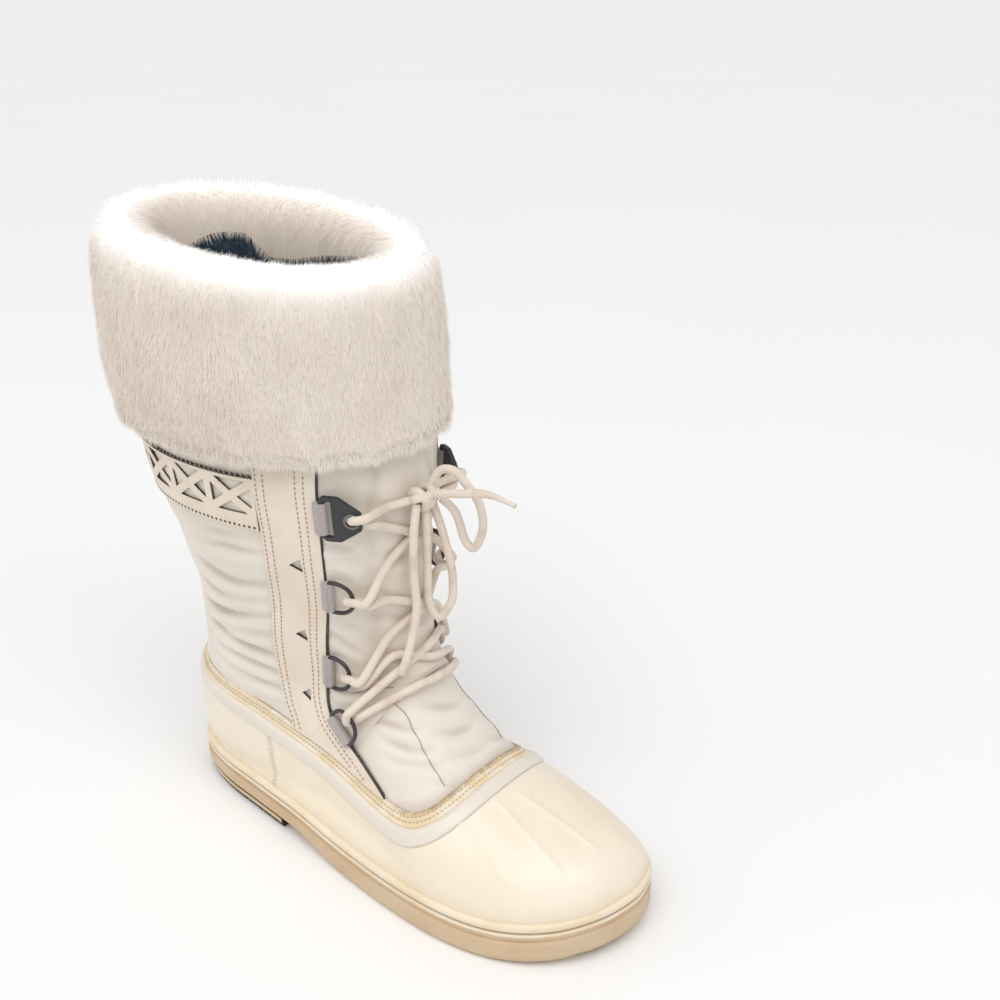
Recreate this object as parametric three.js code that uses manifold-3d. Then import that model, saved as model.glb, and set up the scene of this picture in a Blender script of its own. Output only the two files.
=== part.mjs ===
// Winter boot for the right foot: a moulded rubber shell on a lugged sole, a padded fabric shaft with leather eyestays,
// a gusset tongue under D-ring lacing and a deep turned-down fur cuff.
// X runs from heel to toe, Y towards the inner (medial) side, Z up. Millimetres.
// The origin lies on the floor under the middle of the heel.
import * as THREE from "three";
import { mergeVertices } from "three/addons/utils/BufferGeometryUtils.js";
import Module from "manifold-3d";

const wasm = await Module();
wasm.setup();

// Sole sizes
const soleLength = 285;
const ballWidth = 104;
const heelCentre = 45; // from the back of the heel to the origin
const soleHeelTop = 17;
const soleBallTop = 15;
const toeSpring = 6;
const heelTreadLength = 96;
const heelTreadHeight = 6;
const heelTreadInset = 2.5;
const archEnd = 152; // where the waist comes down to the floor
const flatEnd = 216; // where the toe spring begins
const lugDepth = 3;
const lugGroove = 4;
const beadHeight = 7;
const insoleThickness = 5;

// Upper sizes
const instepHeight = 97;
const shinDistance = 156; // from the back of the heel to the front of the leg
const legHeight = 300;
const legDepth = 166;
const legWidth = 121;
const upperWall = 3;
const shellWall = 2.5;
const lipHeight = 8;
const lipStep = 1.3;
const shellOverlap = 12; // how far the fabric goes down inside the shell
const trimHeight = 7;
const trimThickness = 1.2;
const overlayThickness = 1.4;
const tongueThickness = 3;
const tonguePad = 3.6; // how far the tongue's middle stands out into the throat
const tongueMargin = 12;
const vampTop = legHeight * 0.33;
const throatTop = legHeight * 0.793;
const clearance = 0.3;

// Lattice band
const bandBottom = legHeight * 0.613;
const bandHeight = 29;
const latticeCells = 11;
const latticeBar = 3.4;

// Fur cuff
const cuffBottom = legHeight * 0.713;
const cuffPile = 9;
const facingPile = 18;
const cuffRise = 14;
const rimTilt = 14; // how much higher the cuff stands at the back than at the front
const lockDepth = 2.4;
const cuffEase = 0.6; // between the cuff and the leg that it is turned over

// Lacing hardware
const wireRadius = 1.3;
const ringHeight = 20;
const ringReach = 13;
const tabLength = ringHeight - 4 * wireRadius - 0.6;
const tabWall = 1;
const barReach = 2.6; // from the throat's edge to the middle of the bar that a tab holds
const plateHeight = 23;
const plateReach = 21;
const plateThickness = 2.2;
const plateBar = 2.4;
const laceHole = 3.2;
const holeMargin = 1.6;
const laceRadius = 2.2;
const ringHeights = [0.25, 0.357, 0.507].map((share) => share * legHeight);
const plateLevel = legHeight * 0.65;

const AROUND = 22; // points round each section
const farSide = ballWidth * 2; // beyond the boot on either side

const TAN = 0xc4a57c;
const BLACK = 0x26262a;
const CREAM = 0xefe3cb;
const FABRIC = 0xddd5cc;
const LEATHER = 0xead9bf;
const FUR = 0xf3efe6;
const WEB = 0xa8a2a0;
const CORD = 0xd9cdbb;
const FELT = 0x51514f;

const clamp01 = (t) => Math.min(1, Math.max(0, t));
const ease = (t) => clamp01(t) ** 2 * (3 - 2 * clamp01(t));

// A table's column at any place between its rows, on a Catmull-Rom curve.
function column(rows, name, place) {
  const at = (i) => rows[Math.min(rows.length - 1, Math.max(0, i))][name];
  const i = Math.min(rows.length - 2, Math.max(0, Math.floor(place)));
  const t = place - i;
  const [a, b, c, d] = [at(i - 1), at(i), at(i + 1), at(i + 2)];
  const bend = 2 * a - 5 * b + 4 * c - d;
  const twist = 3 * (b - c) + d - a;
  return b + 0.5 * t * (c - a + t * (bend + t * twist));
}

// A closed mesh as a solid.
function solid(geometry) {
  const bare = geometry.index ? geometry.toNonIndexed() : geometry.clone();
  bare.deleteAttribute("normal");
  bare.deleteAttribute("uv");
  const merged = mergeVertices(bare, 1e-4);
  return new wasm.Manifold(
    new wasm.Mesh({
      numProp: 3,
      vertProperties: new Float32Array(merged.attributes.position.array),
      triVerts: new Uint32Array(merged.index.array),
    }),
  );
}

// Rows of points, each row a closed loop. The rows close on themselves, or their ends are capped from a centre point.
function gridSolid(rows, closed = false) {
  const across = rows[0].length;
  const points = rows.flat();
  const faces = [];
  const last = closed ? rows.length : rows.length - 1;
  for (let i = 0; i < last; i++) {
    const low = i * across;
    const high = ((i + 1) % rows.length) * across;
    for (let j = 0; j < across; j++) {
      const k = (j + 1) % across;
      faces.push(low + j, low + k, high + k, low + j, high + k, high + j);
    }
  }
  if (!closed) {
    for (const [row, flip] of [[0, true], [rows.length - 1, false]]) {
      const middle = new THREE.Vector3();
      rows[row].forEach((p) => middle.addScaledVector(p, 1 / across));
      const hub = points.push(middle) - 1;
      for (let j = 0; j < across; j++) {
        const a = row * across + j;
        const b = row * across + ((j + 1) % across);
        faces.push(hub, flip ? b : a, flip ? a : b);
      }
    }
  }
  const geometry = new THREE.BufferGeometry().setFromPoints(points);
  geometry.setIndex(faces);
  const made = solid(geometry);
  if (made.volume() > 0) return made;
  const turned = faces.map((_, i) => faces[i - (i % 3) + 2 - (i % 3)]);
  geometry.setIndex(turned);
  return solid(geometry);
}

function geometryOf(made) {
  const mesh = made.getMesh();
  const geometry = new THREE.BufferGeometry();
  geometry.setAttribute("position", new THREE.BufferAttribute(mesh.vertProperties, 3));
  geometry.setIndex(new THREE.BufferAttribute(mesh.triVerts, 1));
  return geometry.toNonIndexed();
}

// A region of the side view, given as [x, z] corners, cut right through from y = from to y = to.
function sideRegion(corners, from = -farSide, to = farSide) {
  const shape = new THREE.Shape(corners.map(([x, z]) => new THREE.Vector2(x, z)));
  const geometry = new THREE.ExtrudeGeometry(shape, { depth: to - from, bevelEnabled: false });
  geometry.rotateX(Math.PI / 2).translate(0, to, 0);
  return solid(geometry);
}

// A flat outline given as [x, y] corners, raised from z = from to z = to.
function planRegion(corners, from, to) {
  const shape = new THREE.Shape(corners.map(([x, y]) => new THREE.Vector2(x, y)));
  const geometry = new THREE.ExtrudeGeometry(shape, { depth: to - from, bevelEnabled: false });
  return solid(geometry.translate(0, 0, from));
}

// A round cord through points, with its sections at the points, or at equal steps when steps are given.
function roundTube(points, radius, sides, steps = 0) {
  const curve = new THREE.CatmullRomCurve3(points, false, "centripetal");
  const last = steps || points.length - 1;
  const rows = [];
  const normal = new THREE.Vector3(0, 0, 1);
  for (let i = 0; i <= last; i++) {
    const centre = steps ? curve.getPointAt(i / last) : points[i];
    const along = steps ? curve.getTangentAt(i / last) : curve.getTangent(i / last);
    normal.addScaledVector(along, -normal.dot(along)).normalize();
    const aside = new THREE.Vector3().crossVectors(along, normal);
    rows.push(
      Array.from({ length: sides }, (_, j) => {
        const angle = (2 * Math.PI * j) / sides;
        const arm = normal.clone().multiplyScalar(Math.cos(angle)).addScaledVector(aside, Math.sin(angle));
        return centre.clone().addScaledVector(arm, radius);
      }),
    );
  }
  return gridSolid(rows);
}

// The sole's outline from above. Rows go from heel to toe in equal steps of half a turn, so both ends are round.
// Both sides are shares of the ball width.
const OUTLINE = [
  { lateral: 0, medial: 0 },
  { lateral: -0.168, medial: 0.165 },
  { lateral: -0.3, medial: 0.285 },
  { lateral: -0.37, medial: 0.335 },
  { lateral: -0.404, medial: 0.338 },
  { lateral: -0.44, medial: 0.333 },
  { lateral: -0.486, medial: 0.366 },
  { lateral: -0.522, medial: 0.432 },
  { lateral: -0.523, medial: 0.475 },
  { lateral: -0.464, medial: 0.452 },
  { lateral: -0.33, medial: 0.38 },
  { lateral: -0.13, medial: 0.25 },
  { lateral: 0.075, medial: 0.075 },
];
const OUTLINE_STEPS = 24;

const smooth = (x, from, to) => ease((x - from) / (to - from));
const spring = (x) => toeSpring * clamp01((x - flatEnd) / (soleLength - flatEnd)) ** 2;
const heelLift = heelTreadHeight + clearance;
const soleBottom = (x) => heelLift * (1 - smooth(x, heelTreadLength, archEnd)) + spring(x);
const soleTop = (x) =>
  soleHeelTop + (soleBallTop - soleHeelTop) * smooth(x, heelTreadLength, archEnd) + spring(x);

function outlinePair(step, length = soleLength) {
  const place = (step / OUTLINE_STEPS) * (OUTLINE.length - 1);
  const x = (soleLength * (1 - Math.cos((Math.PI * step) / OUTLINE_STEPS))) / 2;
  return {
    x: Math.min(x, length),
    lateral: ballWidth * column(OUTLINE, "lateral", place),
    medial: ballWidth * column(OUTLINE, "medial", place),
  };
}

// The outline as one closed loop, moved in by inset along its own normals.
function outlineLoop(inset) {
  const pairs = Array.from({ length: OUTLINE_STEPS + 1 }, (_, i) => outlinePair(i));
  const loop = [
    ...pairs.slice(1).map((p) => new THREE.Vector2(p.x, p.lateral)),
    ...pairs.slice(0, -1).reverse().map((p) => new THREE.Vector2(p.x, p.medial)),
  ];
  return loop.map((p, i) => {
    const before = loop[(i + loop.length - 1) % loop.length];
    const after = loop[(i + 1) % loop.length];
    const along = after.clone().sub(before).normalize();
    return new THREE.Vector2(p.x - along.y * inset, p.y + along.x * inset);
  });
}

// A solid between the levels of a table: each level is the outline moved in, at a height that follows x.
function soleStack(levels) {
  const rows = levels.map(({ inset, height }) =>
    outlineLoop(inset).map((p) => new THREE.Vector3(p.x, p.y, height(p.x))),
  );
  const across = rows[0].length;
  const points = rows.flat();
  const faces = [];
  for (let i = 0; i + 1 < rows.length; i++) {
    for (let j = 0; j < across; j++) {
      const k = (j + 1) % across;
      const [a, b] = [i * across, (i + 1) * across];
      faces.push(a + j, a + k, b + k, a + j, b + k, b + j);
    }
  }
  // The faces above and below run across from the lateral side to the medial one, so they follow the toe spring.
  const heel = across - 1;
  const top = (rows.length - 1) * across;
  for (let j = 0; j < across / 2; j++) {
    const [a, b] = [(heel + j) % across, (heel + j + 1) % across];
    const [c, d] = [(heel - j + across) % across, (heel - j - 1 + across) % across];
    for (const [p, q, r] of [[a, b, d], [a, d, c]]) {
      if (p === q || q === r || p === r) continue;
      faces.push(p, r, q, top + p, top + q, top + r);
    }
  }
  const geometry = new THREE.BufferGeometry().setFromPoints(points);
  geometry.setIndex(faces);
  return solid(geometry);
}

// The base form is the outside of the fabric upper, carried on down to the sole. Each section lies in a plane across
// the boot, from a low point on the sole or the back to a high point on the vamp or the shin.
// Foot: lowX and highX are shares of the sole length, highZ of the instep height, the widths of the ball width.
const FOOT = [
  { lowX: 0.969, lowZ: 0.27, highX: 0.971, highZ: 0.32, lateral: 0.085, medial: 0.085, centre: 0.08 },
  { lowX: 0.961, lowZ: 0.2, highX: 0.963, highZ: 0.39, lateral: 0.215, medial: 0.175, centre: 0.075 },
  { lowX: 0.931, lowZ: 0.14, highX: 0.931, highZ: 0.45, lateral: 0.315, medial: 0.255, centre: 0.056 },
  { lowX: 0.877, lowZ: 0.12, highX: 0.873, highZ: 0.51, lateral: 0.4, medial: 0.335, centre: 0.03 },
  { lowX: 0.8, lowZ: 0.11, highX: 0.793, highZ: 0.575, lateral: 0.454, medial: 0.395, centre: 0.005 },
  { lowX: 0.702, lowZ: 0.11, highX: 0.708, highZ: 0.67, lateral: 0.465, medial: 0.405, centre: -0.012 },
  { lowX: 0.604, lowZ: 0.11, highX: 0.65, highZ: 0.81, lateral: 0.432, medial: 0.364, centre: -0.01 },
  { lowX: 0.498, lowZ: 0.12, highX: 0.6, highZ: 0.97, lateral: 0.395, medial: 0.328, centre: -0.005 },
];
// Heel: lowX is a share of the sole length, lowZ and highZ of the leg height, highX of the shin distance.
const HEEL = [
  { lowX: 0.386, lowZ: 0.041, highX: 1.062, highZ: 0.35, lateral: 0.37, medial: 0.325, belly: 0.3 },
  { lowX: 0.267, lowZ: 0.044, highX: 1.035, highZ: 0.377, lateral: 0.366, medial: 0.33, belly: 0.32 },
  { lowX: 0.147, lowZ: 0.05, highX: 1.018, highZ: 0.403, lateral: 0.375, medial: 0.35, belly: 0.34 },
  { lowX: 0.054, lowZ: 0.063, highX: 1.008, highZ: 0.432, lateral: 0.382, medial: 0.365, belly: 0.37 },
  { lowX: 0.026, lowZ: 0.115, highX: 1.002, highZ: 0.465, lateral: 0.395, medial: 0.385, belly: 0.4 },
  { lowX: 0.034, lowZ: 0.2, highX: 0.997, highZ: 0.51, lateral: 0.418, medial: 0.41, belly: 0.42 },
  { lowX: 0.054, lowZ: 0.295, highX: 0.993, highZ: 0.56, lateral: 0.448, medial: 0.44, belly: 0.45 },
  { lowX: 0.062, lowZ: 0.395, highX: 0.99, highZ: 0.612, lateral: 0.485, medial: 0.475, belly: 0.48 },
];
// Leg: back is the distance behind the heel as a share of the leg depth, shin a share of the shin distance.
const LEG = [
  { height: 0.5, front: 0.66, back: -0.058, shin: 0.988, width: 0.9 },
  { height: 0.6, front: 0.69, back: 0.016, shin: 0.984, width: 0.965 },
  { height: 0.712, front: 0.722, back: 0.064, shin: 0.974, width: 1 },
  { height: 0.82, front: 0.82, back: 0.09, shin: 0.952, width: 1.01 },
  { height: 0.92, front: 0.92, back: 0.098, shin: 0.942, width: 1 },
  { height: 1.02, front: 1.02, back: 0.1, shin: 0.938, width: 0.99 },
  { height: 1.15, front: 1.15, back: 0.1, shin: 0.938, width: 0.99 },
];

const sections = [
  ...FOOT.map((row, i) => ({
    lowX: soleLength * row.lowX,
    lowZ: instepHeight * row.lowZ,
    highX: soleLength * row.highX,
    highZ: instepHeight * row.highZ,
    lateral: ballWidth * row.lateral,
    medial: ballWidth * row.medial,
    centre: ballWidth * row.centre,
    belly: i ? 0.36 - 0.01 * i : 0.5,
    lowPower: Math.min(3.4, 2 + 0.7 * i),
    highPower: 2.15,
  })),
  ...HEEL.map((row, i) => ({
    lowX: soleLength * row.lowX,
    lowZ: legHeight * row.lowZ,
    highX: shinDistance * row.highX,
    highZ: legHeight * row.highZ,
    lateral: ballWidth * row.lateral,
    medial: ballWidth * row.medial,
    centre: 0,
    belly: row.belly,
    lowPower: Math.max(2.1, 3.2 - 0.25 * i),
    highPower: 2.15,
  })),
  ...LEG.map((row) => ({
    lowX: -legDepth * row.back,
    lowZ: legHeight * row.height,
    highX: shinDistance * row.shin,
    highZ: legHeight * row.front,
    lateral: (legWidth / 2) * row.width,
    medial: (legWidth / 2) * row.width,
    centre: 0,
    belly: 0.49,
    lowPower: 2.12,
    highPower: 2.15,
  })),
];
const SUBDIVISIONS = 0.87;

// One point of the form: place counts sections from the toe, angle goes round from the low point.
function formPoint(place, angle) {
  const s = {};
  for (const name of Object.keys(sections[0])) s[name] = column(sections, name, place);
  const [down, side] = [Math.cos(angle), Math.sin(angle)];
  const power = 2 / (down > 0 ? s.lowPower : s.highPower);
  const reach = down > 0 ? s.belly : 1 - s.belly;
  const along = s.belly - Math.sign(down) * reach * Math.abs(down) ** power;
  const width = side < 0 ? s.lateral : s.medial;
  const across = s.centre + Math.sign(side) * width * Math.abs(side) ** power;
  return new THREE.Vector3(
    s.lowX + (s.highX - s.lowX) * along,
    across,
    s.lowZ + (s.highZ - s.lowZ) * along,
  );
}

const ringCount = Math.round((sections.length - 1) * SUBDIVISIONS);
const baseRings = Array.from({ length: ringCount + 1 }, (_, i) =>
  Array.from({ length: AROUND }, (_, j) =>
    formPoint((i / ringCount) * (sections.length - 1), (2 * Math.PI * (j + 0.5)) / AROUND),
  ),
);

// The rings moved out along the form's normals.
function movedRings(outset) {
  const at = (i, j) => {
    const ring = baseRings[Math.min(ringCount, Math.max(0, i))];
    return ring[(j + AROUND) % AROUND];
  };
  return baseRings.map((ring, i) =>
    ring.map((p, j) => {
      const along = at(i + 1, j).clone().sub(at(i - 1, j));
      const round = at(i, j + 1).clone().sub(at(i, j - 1));
      return p.clone().addScaledVector(round.cross(along).normalize(), -outset);
    }),
  );
}

const formCache = new Map();
function form(outset) {
  if (!formCache.has(outset)) formCache.set(outset, gridSolid(movedRings(outset)));
  return formCache.get(outset);
}
const layer = (outer, inner) => form(outer).subtract(form(inner));

// Side view of the shell's top edge: shares of the sole length and of the instep height.
const COLLAR = [
  { x: -0.2, z: 0.83 },
  { x: 0, z: 0.79 },
  { x: 0.18, z: 0.74 },
  { x: 0.38, z: 0.615 },
  { x: 0.5, z: 0.535 },
  { x: 0.6, z: 0.49 },
  { x: 0.66, z: 0.495 },
  { x: 0.705, z: 0.56 },
  { x: 0.728, z: 0.66 },
  { x: 0.738, z: 0.8 },
  { x: 0.742, z: 1.2 },
];
const COLLAR_STEPS = 2;
// The part of the side view over the collar line moved up by rise and forward by the same where the line is steep.
function aboveCollar(rise) {
  const last = COLLAR.length - 1;
  const line = Array.from({ length: last * COLLAR_STEPS + 1 }, (_, i) => [
    soleLength * column(COLLAR, "x", i / COLLAR_STEPS),
    instepHeight * column(COLLAR, "z", i / COLLAR_STEPS),
  ]);
  const moved = line.map(([x, z], i) => {
    const [before, after] = [line[Math.max(0, i - 1)], line[Math.min(line.length - 1, i + 1)]];
    const [dx, dz] = [after[0] - before[0], after[1] - before[1]];
    const length = Math.hypot(dx, dz);
    return [x - (dz / length) * rise, z + (dx / length) * rise];
  });
  const roof = legHeight * 1.3;
  const end = moved[moved.length - 1][0];
  return sideRegion([...moved, [end, roof], [moved[0][0], roof]]);
}

// Side view of the eyestays: front and rear edges from the shell up, as shares of the sole length and leg height.
const STAY_EDGES = [
  { z: 0.1, front: 0.665, rear: 0.42 },
  { z: 0.17, front: 0.615, rear: 0.385 },
  { z: 0.24, front: 0.485, rear: 0.36 },
  { z: 0.29, front: 0.442, rear: 0.344 },
  { z: 0.39, front: 0.441, rear: 0.346 },
  { z: 0.5, front: 0.459, rear: 0.369 },
  { z: 0.64, front: 0.471, rear: 0.382 },
  { z: 0.82, front: 0.471, rear: 0.382 },
];
const EDGE_STEPS = 2;
function stayEdge(name, shift = 0) {
  const last = STAY_EDGES.length - 1;
  return Array.from({ length: last * EDGE_STEPS + 1 }, (_, i) => [
    soleLength * column(STAY_EDGES, name, i / EDGE_STEPS) + shift,
    legHeight * column(STAY_EDGES, "z", i / EDGE_STEPS),
  ]);
}
// x of an edge line at a height.
function edgeAt(name, z) {
  const line = stayEdge(name);
  const i = Math.max(1, line.findIndex((p) => p[1] >= z));
  const [a, b] = [line[i - 1], line[i]];
  return a[0] + ((b[0] - a[0]) * (z - a[1])) / (b[1] - a[1]);
}
const farFront = soleLength * 1.3;
const farBack = -soleLength * 0.5;
const inFrontOf = (name, shift) => {
  const line = stayEdge(name, shift);
  return [...line, [farFront, line[line.length - 1][1]], [farFront, line[0][1]]];
};
const behind = (name, shift) => {
  const line = stayEdge(name, shift);
  return [...line, [farBack, line[line.length - 1][1]], [farBack, line[0][1]]];
};
// Everything between two heights.
const between = (low, high) =>
  sideRegion([[farBack, low], [farFront, low], [farFront, high], [farBack, high]]);

const underSole = (rise) =>
  soleStack([
    { inset: -40, height: () => -60 },
    { inset: -40, height: (x) => soleTop(x) + rise },
  ]);

function outsole() {
  const depth = (share) => (x) => soleBottom(x) + share * (soleTop(x) - soleBottom(x));
  const levels = [
    { inset: 2, share: 0 },
    { inset: 0, share: 0.2 },
    { inset: 0, share: 0.78 },
    { inset: 1.1, share: 0.85 },
    { inset: 0.4, share: 1 },
  ];
  let made = soleStack(levels.map(({ inset, share }) => ({ inset, height: depth(share) })));
  // Chevron grooves leave a row of lugs under the forefoot.
  const grooves = 7;
  const from = archEnd + 2;
  const pitch = (soleLength - from - 8) / grooves;
  for (let i = 0; i < grooves; i++) {
    const x = from + pitch * (i + 0.5);
    const [point, wing] = [7, ballWidth];
    const corners = [
      [x, -wing], [x + lugGroove, -wing], [x + lugGroove + point, 0], [x + lugGroove, wing], [x, wing], [x + point, 0],
    ];
    const top = lugDepth + spring(x);
    made = made.subtract(planRegion(corners, -10, top));
  }
  return made;
}

function heelTread() {
  const block = soleStack([
    { inset: heelTreadInset + 1, height: () => 0 },
    { inset: heelTreadInset, height: () => heelTreadHeight / 2 },
    { inset: heelTreadInset, height: () => heelTreadHeight },
  ]);
  const breast = heelTreadLength;
  const sweep = 7;
  const side = ballWidth;
  let made = block.intersect(
    planRegion([[farBack, -side], [breast, -side], [breast - sweep, 0], [breast, side], [farBack, side]], -1, 90),
  );
  const grooves = 5;
  const pitch = (breast - sweep) / (grooves + 1);
  for (let i = 1; i <= grooves; i++) {
    const x = pitch * i + sweep / 2;
    // A solid pad stays under the middle of the heel.
    for (const way of [-1, 1]) {
      const corners = [[x, way * 11], [x + 3, way * 11], [x + 3, way * side], [x, way * side]];
      if (way < 0) corners.reverse();
      made = made.subtract(planRegion(corners, -1, lugDepth));
    }
  }
  return made;
}

// The cream foxing round the foot of the shell: a thin line, a groove and a round bead.
function foxingBead() {
  const profile = [
    { inset: 6, share: 0 },
    { inset: 0.3, share: 0 },
    { inset: 0.3, share: 0.18 },
    { inset: 1.4, share: 0.3 },
    { inset: 0.1, share: 0.52 },
    { inset: 0.4, share: 0.84 },
    { inset: 1.8, share: 1 },
    { inset: 6, share: 1 },
  ];
  const loops = profile.map(({ inset, share }) =>
    outlineLoop(inset).map((p) => new THREE.Vector3(p.x, p.y, soleTop(p.x) + clearance + share * beadHeight)),
  );
  const rows = loops[0].map((_, j) => loops.map((loop) => loop[j]));
  return gridSolid(rows, true).subtract(form(clearance * 2 + shellWall));
}

// Low moulded ridges fan over the toe cap, in plan: shares of the sole length and ball width.
const TOE_RIDGES = [
  { fromX: 0.752, fromY: -0.33, toX: 0.858, toY: -0.37 },
  { fromX: 0.772, fromY: -0.19, toX: 0.93, toY: -0.205 },
  { fromX: 0.785, fromY: -0.05, toX: 0.942, toY: -0.01 },
];
const ridgeWidth = 4;
const ridgeRise = 0.9;

const shellOut = clearance + shellWall;

function shell() {
  const wall = layer(shellOut, clearance);
  const lip = layer(shellOut + lipStep, clearance).subtract(aboveCollar(0)).intersect(aboveCollar(-lipHeight));
  let made = wall.subtract(aboveCollar(0)).add(lip);
  for (const { fromX, fromY, toX, toY } of TOE_RIDGES) {
    const [x0, y0, x1, y1] = [soleLength * fromX, ballWidth * fromY, soleLength * toX, ballWidth * toY];
    const [half, tip] = [ridgeWidth / 2, ridgeWidth / 4];
    const corners = [[x0, y0 - half], [x1, y1 - tip], [x1, y1 + tip], [x0, y0 + half]];
    const strip = planRegion(corners, instepHeight * 0.4, legHeight);
    made = made.add(layer(shellOut + ridgeRise, clearance).intersect(strip));
  }
  return made.subtract(underSole(clearance));
}

function upper() {
  const throat = sideRegion(inFrontOf("front", 0)).intersect(between(vampTop, throatTop));
  return layer(0, -upperWall)
    .intersect(aboveCollar(-shellOverlap))
    .subtract(between(legHeight, legHeight * 2))
    .subtract(throat);
}

// The tongue lies behind the throat's edges, and its padded middle stands out between them.
function tongue() {
  const back = -upperWall - clearance;
  const backing = layer(back, back - tongueThickness)
    .intersect(sideRegion(inFrontOf("front", -tongueMargin)))
    .intersect(between(vampTop - tongueMargin, throatTop + tongueMargin));
  const middle = layer(back + tonguePad, back - tongueThickness / 2)
    .intersect(sideRegion(inFrontOf("front", clearance * 2)))
    .intersect(between(vampTop + clearance, throatTop - clearance));
  return backing.add(middle);
}

function insole() {
  return form(0)
    .subtract(underSole(clearance))
    .intersect(underSole(clearance + insoleThickness));
}

// A stitched strip over the joint of shell and fabric.
function trim() {
  return layer(clearance + trimThickness, clearance)
    .intersect(aboveCollar(clearance))
    .subtract(aboveCollar(trimHeight));
}

const stayTop = cuffBottom + 14;
function stayBlank(shift) {
  return sideRegion(inFrontOf("rear", shift))
    .subtract(sideRegion(inFrontOf("front", -shift)))
    .intersect(between(0, stayTop))
    .intersect(aboveCollar(trimHeight + clearance));
}
// Heights of the cut-out triangles as shares of the leg height.
const STAY_CUTS = [0.3, 0.42, 0.56];
const stayCutSize = 5;
function eyestay(side) {
  let blank = stayBlank(0);
  for (const share of STAY_CUTS) {
    const z = legHeight * share;
    const x = edgeAt("rear", z) * 0.42 + edgeAt("front", z) * 0.58;
    const half = stayCutSize / 2;
    blank = blank.subtract(sideRegion([[x - half, z], [x + half, z - half], [x + half, z + half]]));
  }
  const half = side < 0 ? sideRegion(ALL, -farSide, 0) : sideRegion(ALL, 0, farSide);
  return layer(clearance + overlayThickness, clearance).intersect(blank).intersect(half);
}
const ALL = [[farBack, -100], [farFront, -100], [farFront, 500], [farBack, 500]];

// Rings of the leg, level from here up, at any height and outset.
function legRing(z, outset) {
  let low = 0;
  const level = legHeight * LEG[2].height;
  const rings = movedRings(outset);
  for (let i = 0; i < rings.length; i++) {
    if (baseRings[i][0].z < Math.max(z, level)) low = i;
  }
  const [a, b] = [rings[Math.min(low, ringCount - 1)], rings[Math.min(low + 1, ringCount)]];
  return a.map((p, j) => {
    const t = (z - p.z) / (b[j].z - p.z);
    const q = p.clone().lerp(b[j], t);
    q.z = z;
    return q;
  });
}

// Points at equal distances round a level loop.
function evenLoop(loop, count) {
  const curve = new THREE.CatmullRomCurve3(loop, true);
  return curve.getSpacedPoints(count).slice(0, count);
}

// A band of crossed bars round the back of the leg, between the rear edges of the eyestays.
function latticeBand() {
  const middle = bandBottom + bandHeight / 2;
  let made = layer(clearance + overlayThickness, clearance)
    .intersect(between(bandBottom, bandBottom + bandHeight))
    .intersect(sideRegion(behind("rear", -clearance)));
  const front = edgeAt("rear", middle) - 4;
  const loop = evenLoop(levelLoop(middle, overlayThickness), 720);
  const path = backPath(loop, front);
  const line = new THREE.CatmullRomCurve3(path);
  const length = line.getLength();
  const cell = length / latticeCells;
  for (let i = 0; i < latticeCells; i++) {
    const t = (i + 0.5) / latticeCells;
    const centre = line.getPointAt(t);
    const along = line.getTangentAt(t);
    for (const [dx, dy] of [[1, 0], [-1, 0], [0, 1], [0, -1]]) {
      made = made.subtract(latticeHole(centre, along, cell, dx, dy));
    }
  }
  return made;
}

// One triangle of a crossed cell: it points at the cell's middle from the side (dx, dy).
function latticeHole(centre, along, cell, dx, dy) {
  const [halfWide, halfHigh] = [cell / 2 - latticeBar / 4, bandHeight / 2 - 6];
  const gap = latticeBar / 2;
  const slope = halfHigh / halfWide;
  const point = gap * Math.hypot(1, slope);
  const shape = new THREE.Shape();
  if (dx) {
    const reach = halfWide - gap * 0.6;
    const high = (reach - point / slope) * slope;
    shape.setFromPoints([
      new THREE.Vector2(dx * (point / slope), 0),
      new THREE.Vector2(dx * reach, high),
      new THREE.Vector2(dx * reach, -high),
    ]);
  } else {
    const wide = (halfHigh - point) / slope;
    shape.setFromPoints([
      new THREE.Vector2(0, dy * point),
      new THREE.Vector2(wide, dy * halfHigh),
      new THREE.Vector2(-wide, dy * halfHigh),
    ]);
  }
  const geometry = new THREE.ExtrudeGeometry(shape, { depth: 16, bevelEnabled: false });
  const flat = new THREE.Vector3(along.x, along.y, 0).normalize();
  const up = new THREE.Vector3(0, 0, 1);
  const out = new THREE.Vector3().crossVectors(flat, up);
  geometry.translate(0, 0, -8);
  geometry.applyMatrix4(new THREE.Matrix4().makeBasis(flat, up, out));
  geometry.translate(centre.x, centre.y, centre.z);
  return solid(geometry);
}

// The form's outline at a height, found by looking at it level from all round.
function levelLoop(z, outset) {
  const rings = movedRings(outset);
  const loop = [];
  for (let j = 0; j < AROUND; j++) {
    for (let i = 0; i < ringCount; i++) {
      const [a, b] = [rings[i][j], rings[i + 1][j]];
      if (a.z <= z && b.z > z) {
        loop.push(a.clone().lerp(b, (z - a.z) / (b.z - a.z)));
        break;
      }
    }
  }
  return loop;
}

// The stretch of a level loop that lies behind x, from the lateral side round the back to the medial one.
function backPath(loop, x) {
  const turn = (p) => Math.atan2(p.y, x + 1 - p.x);
  return loop.filter((p) => p.x < x).sort((a, b) => turn(a) - turn(b)).filter((_, i) => i % 6 === 0);
}

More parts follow.
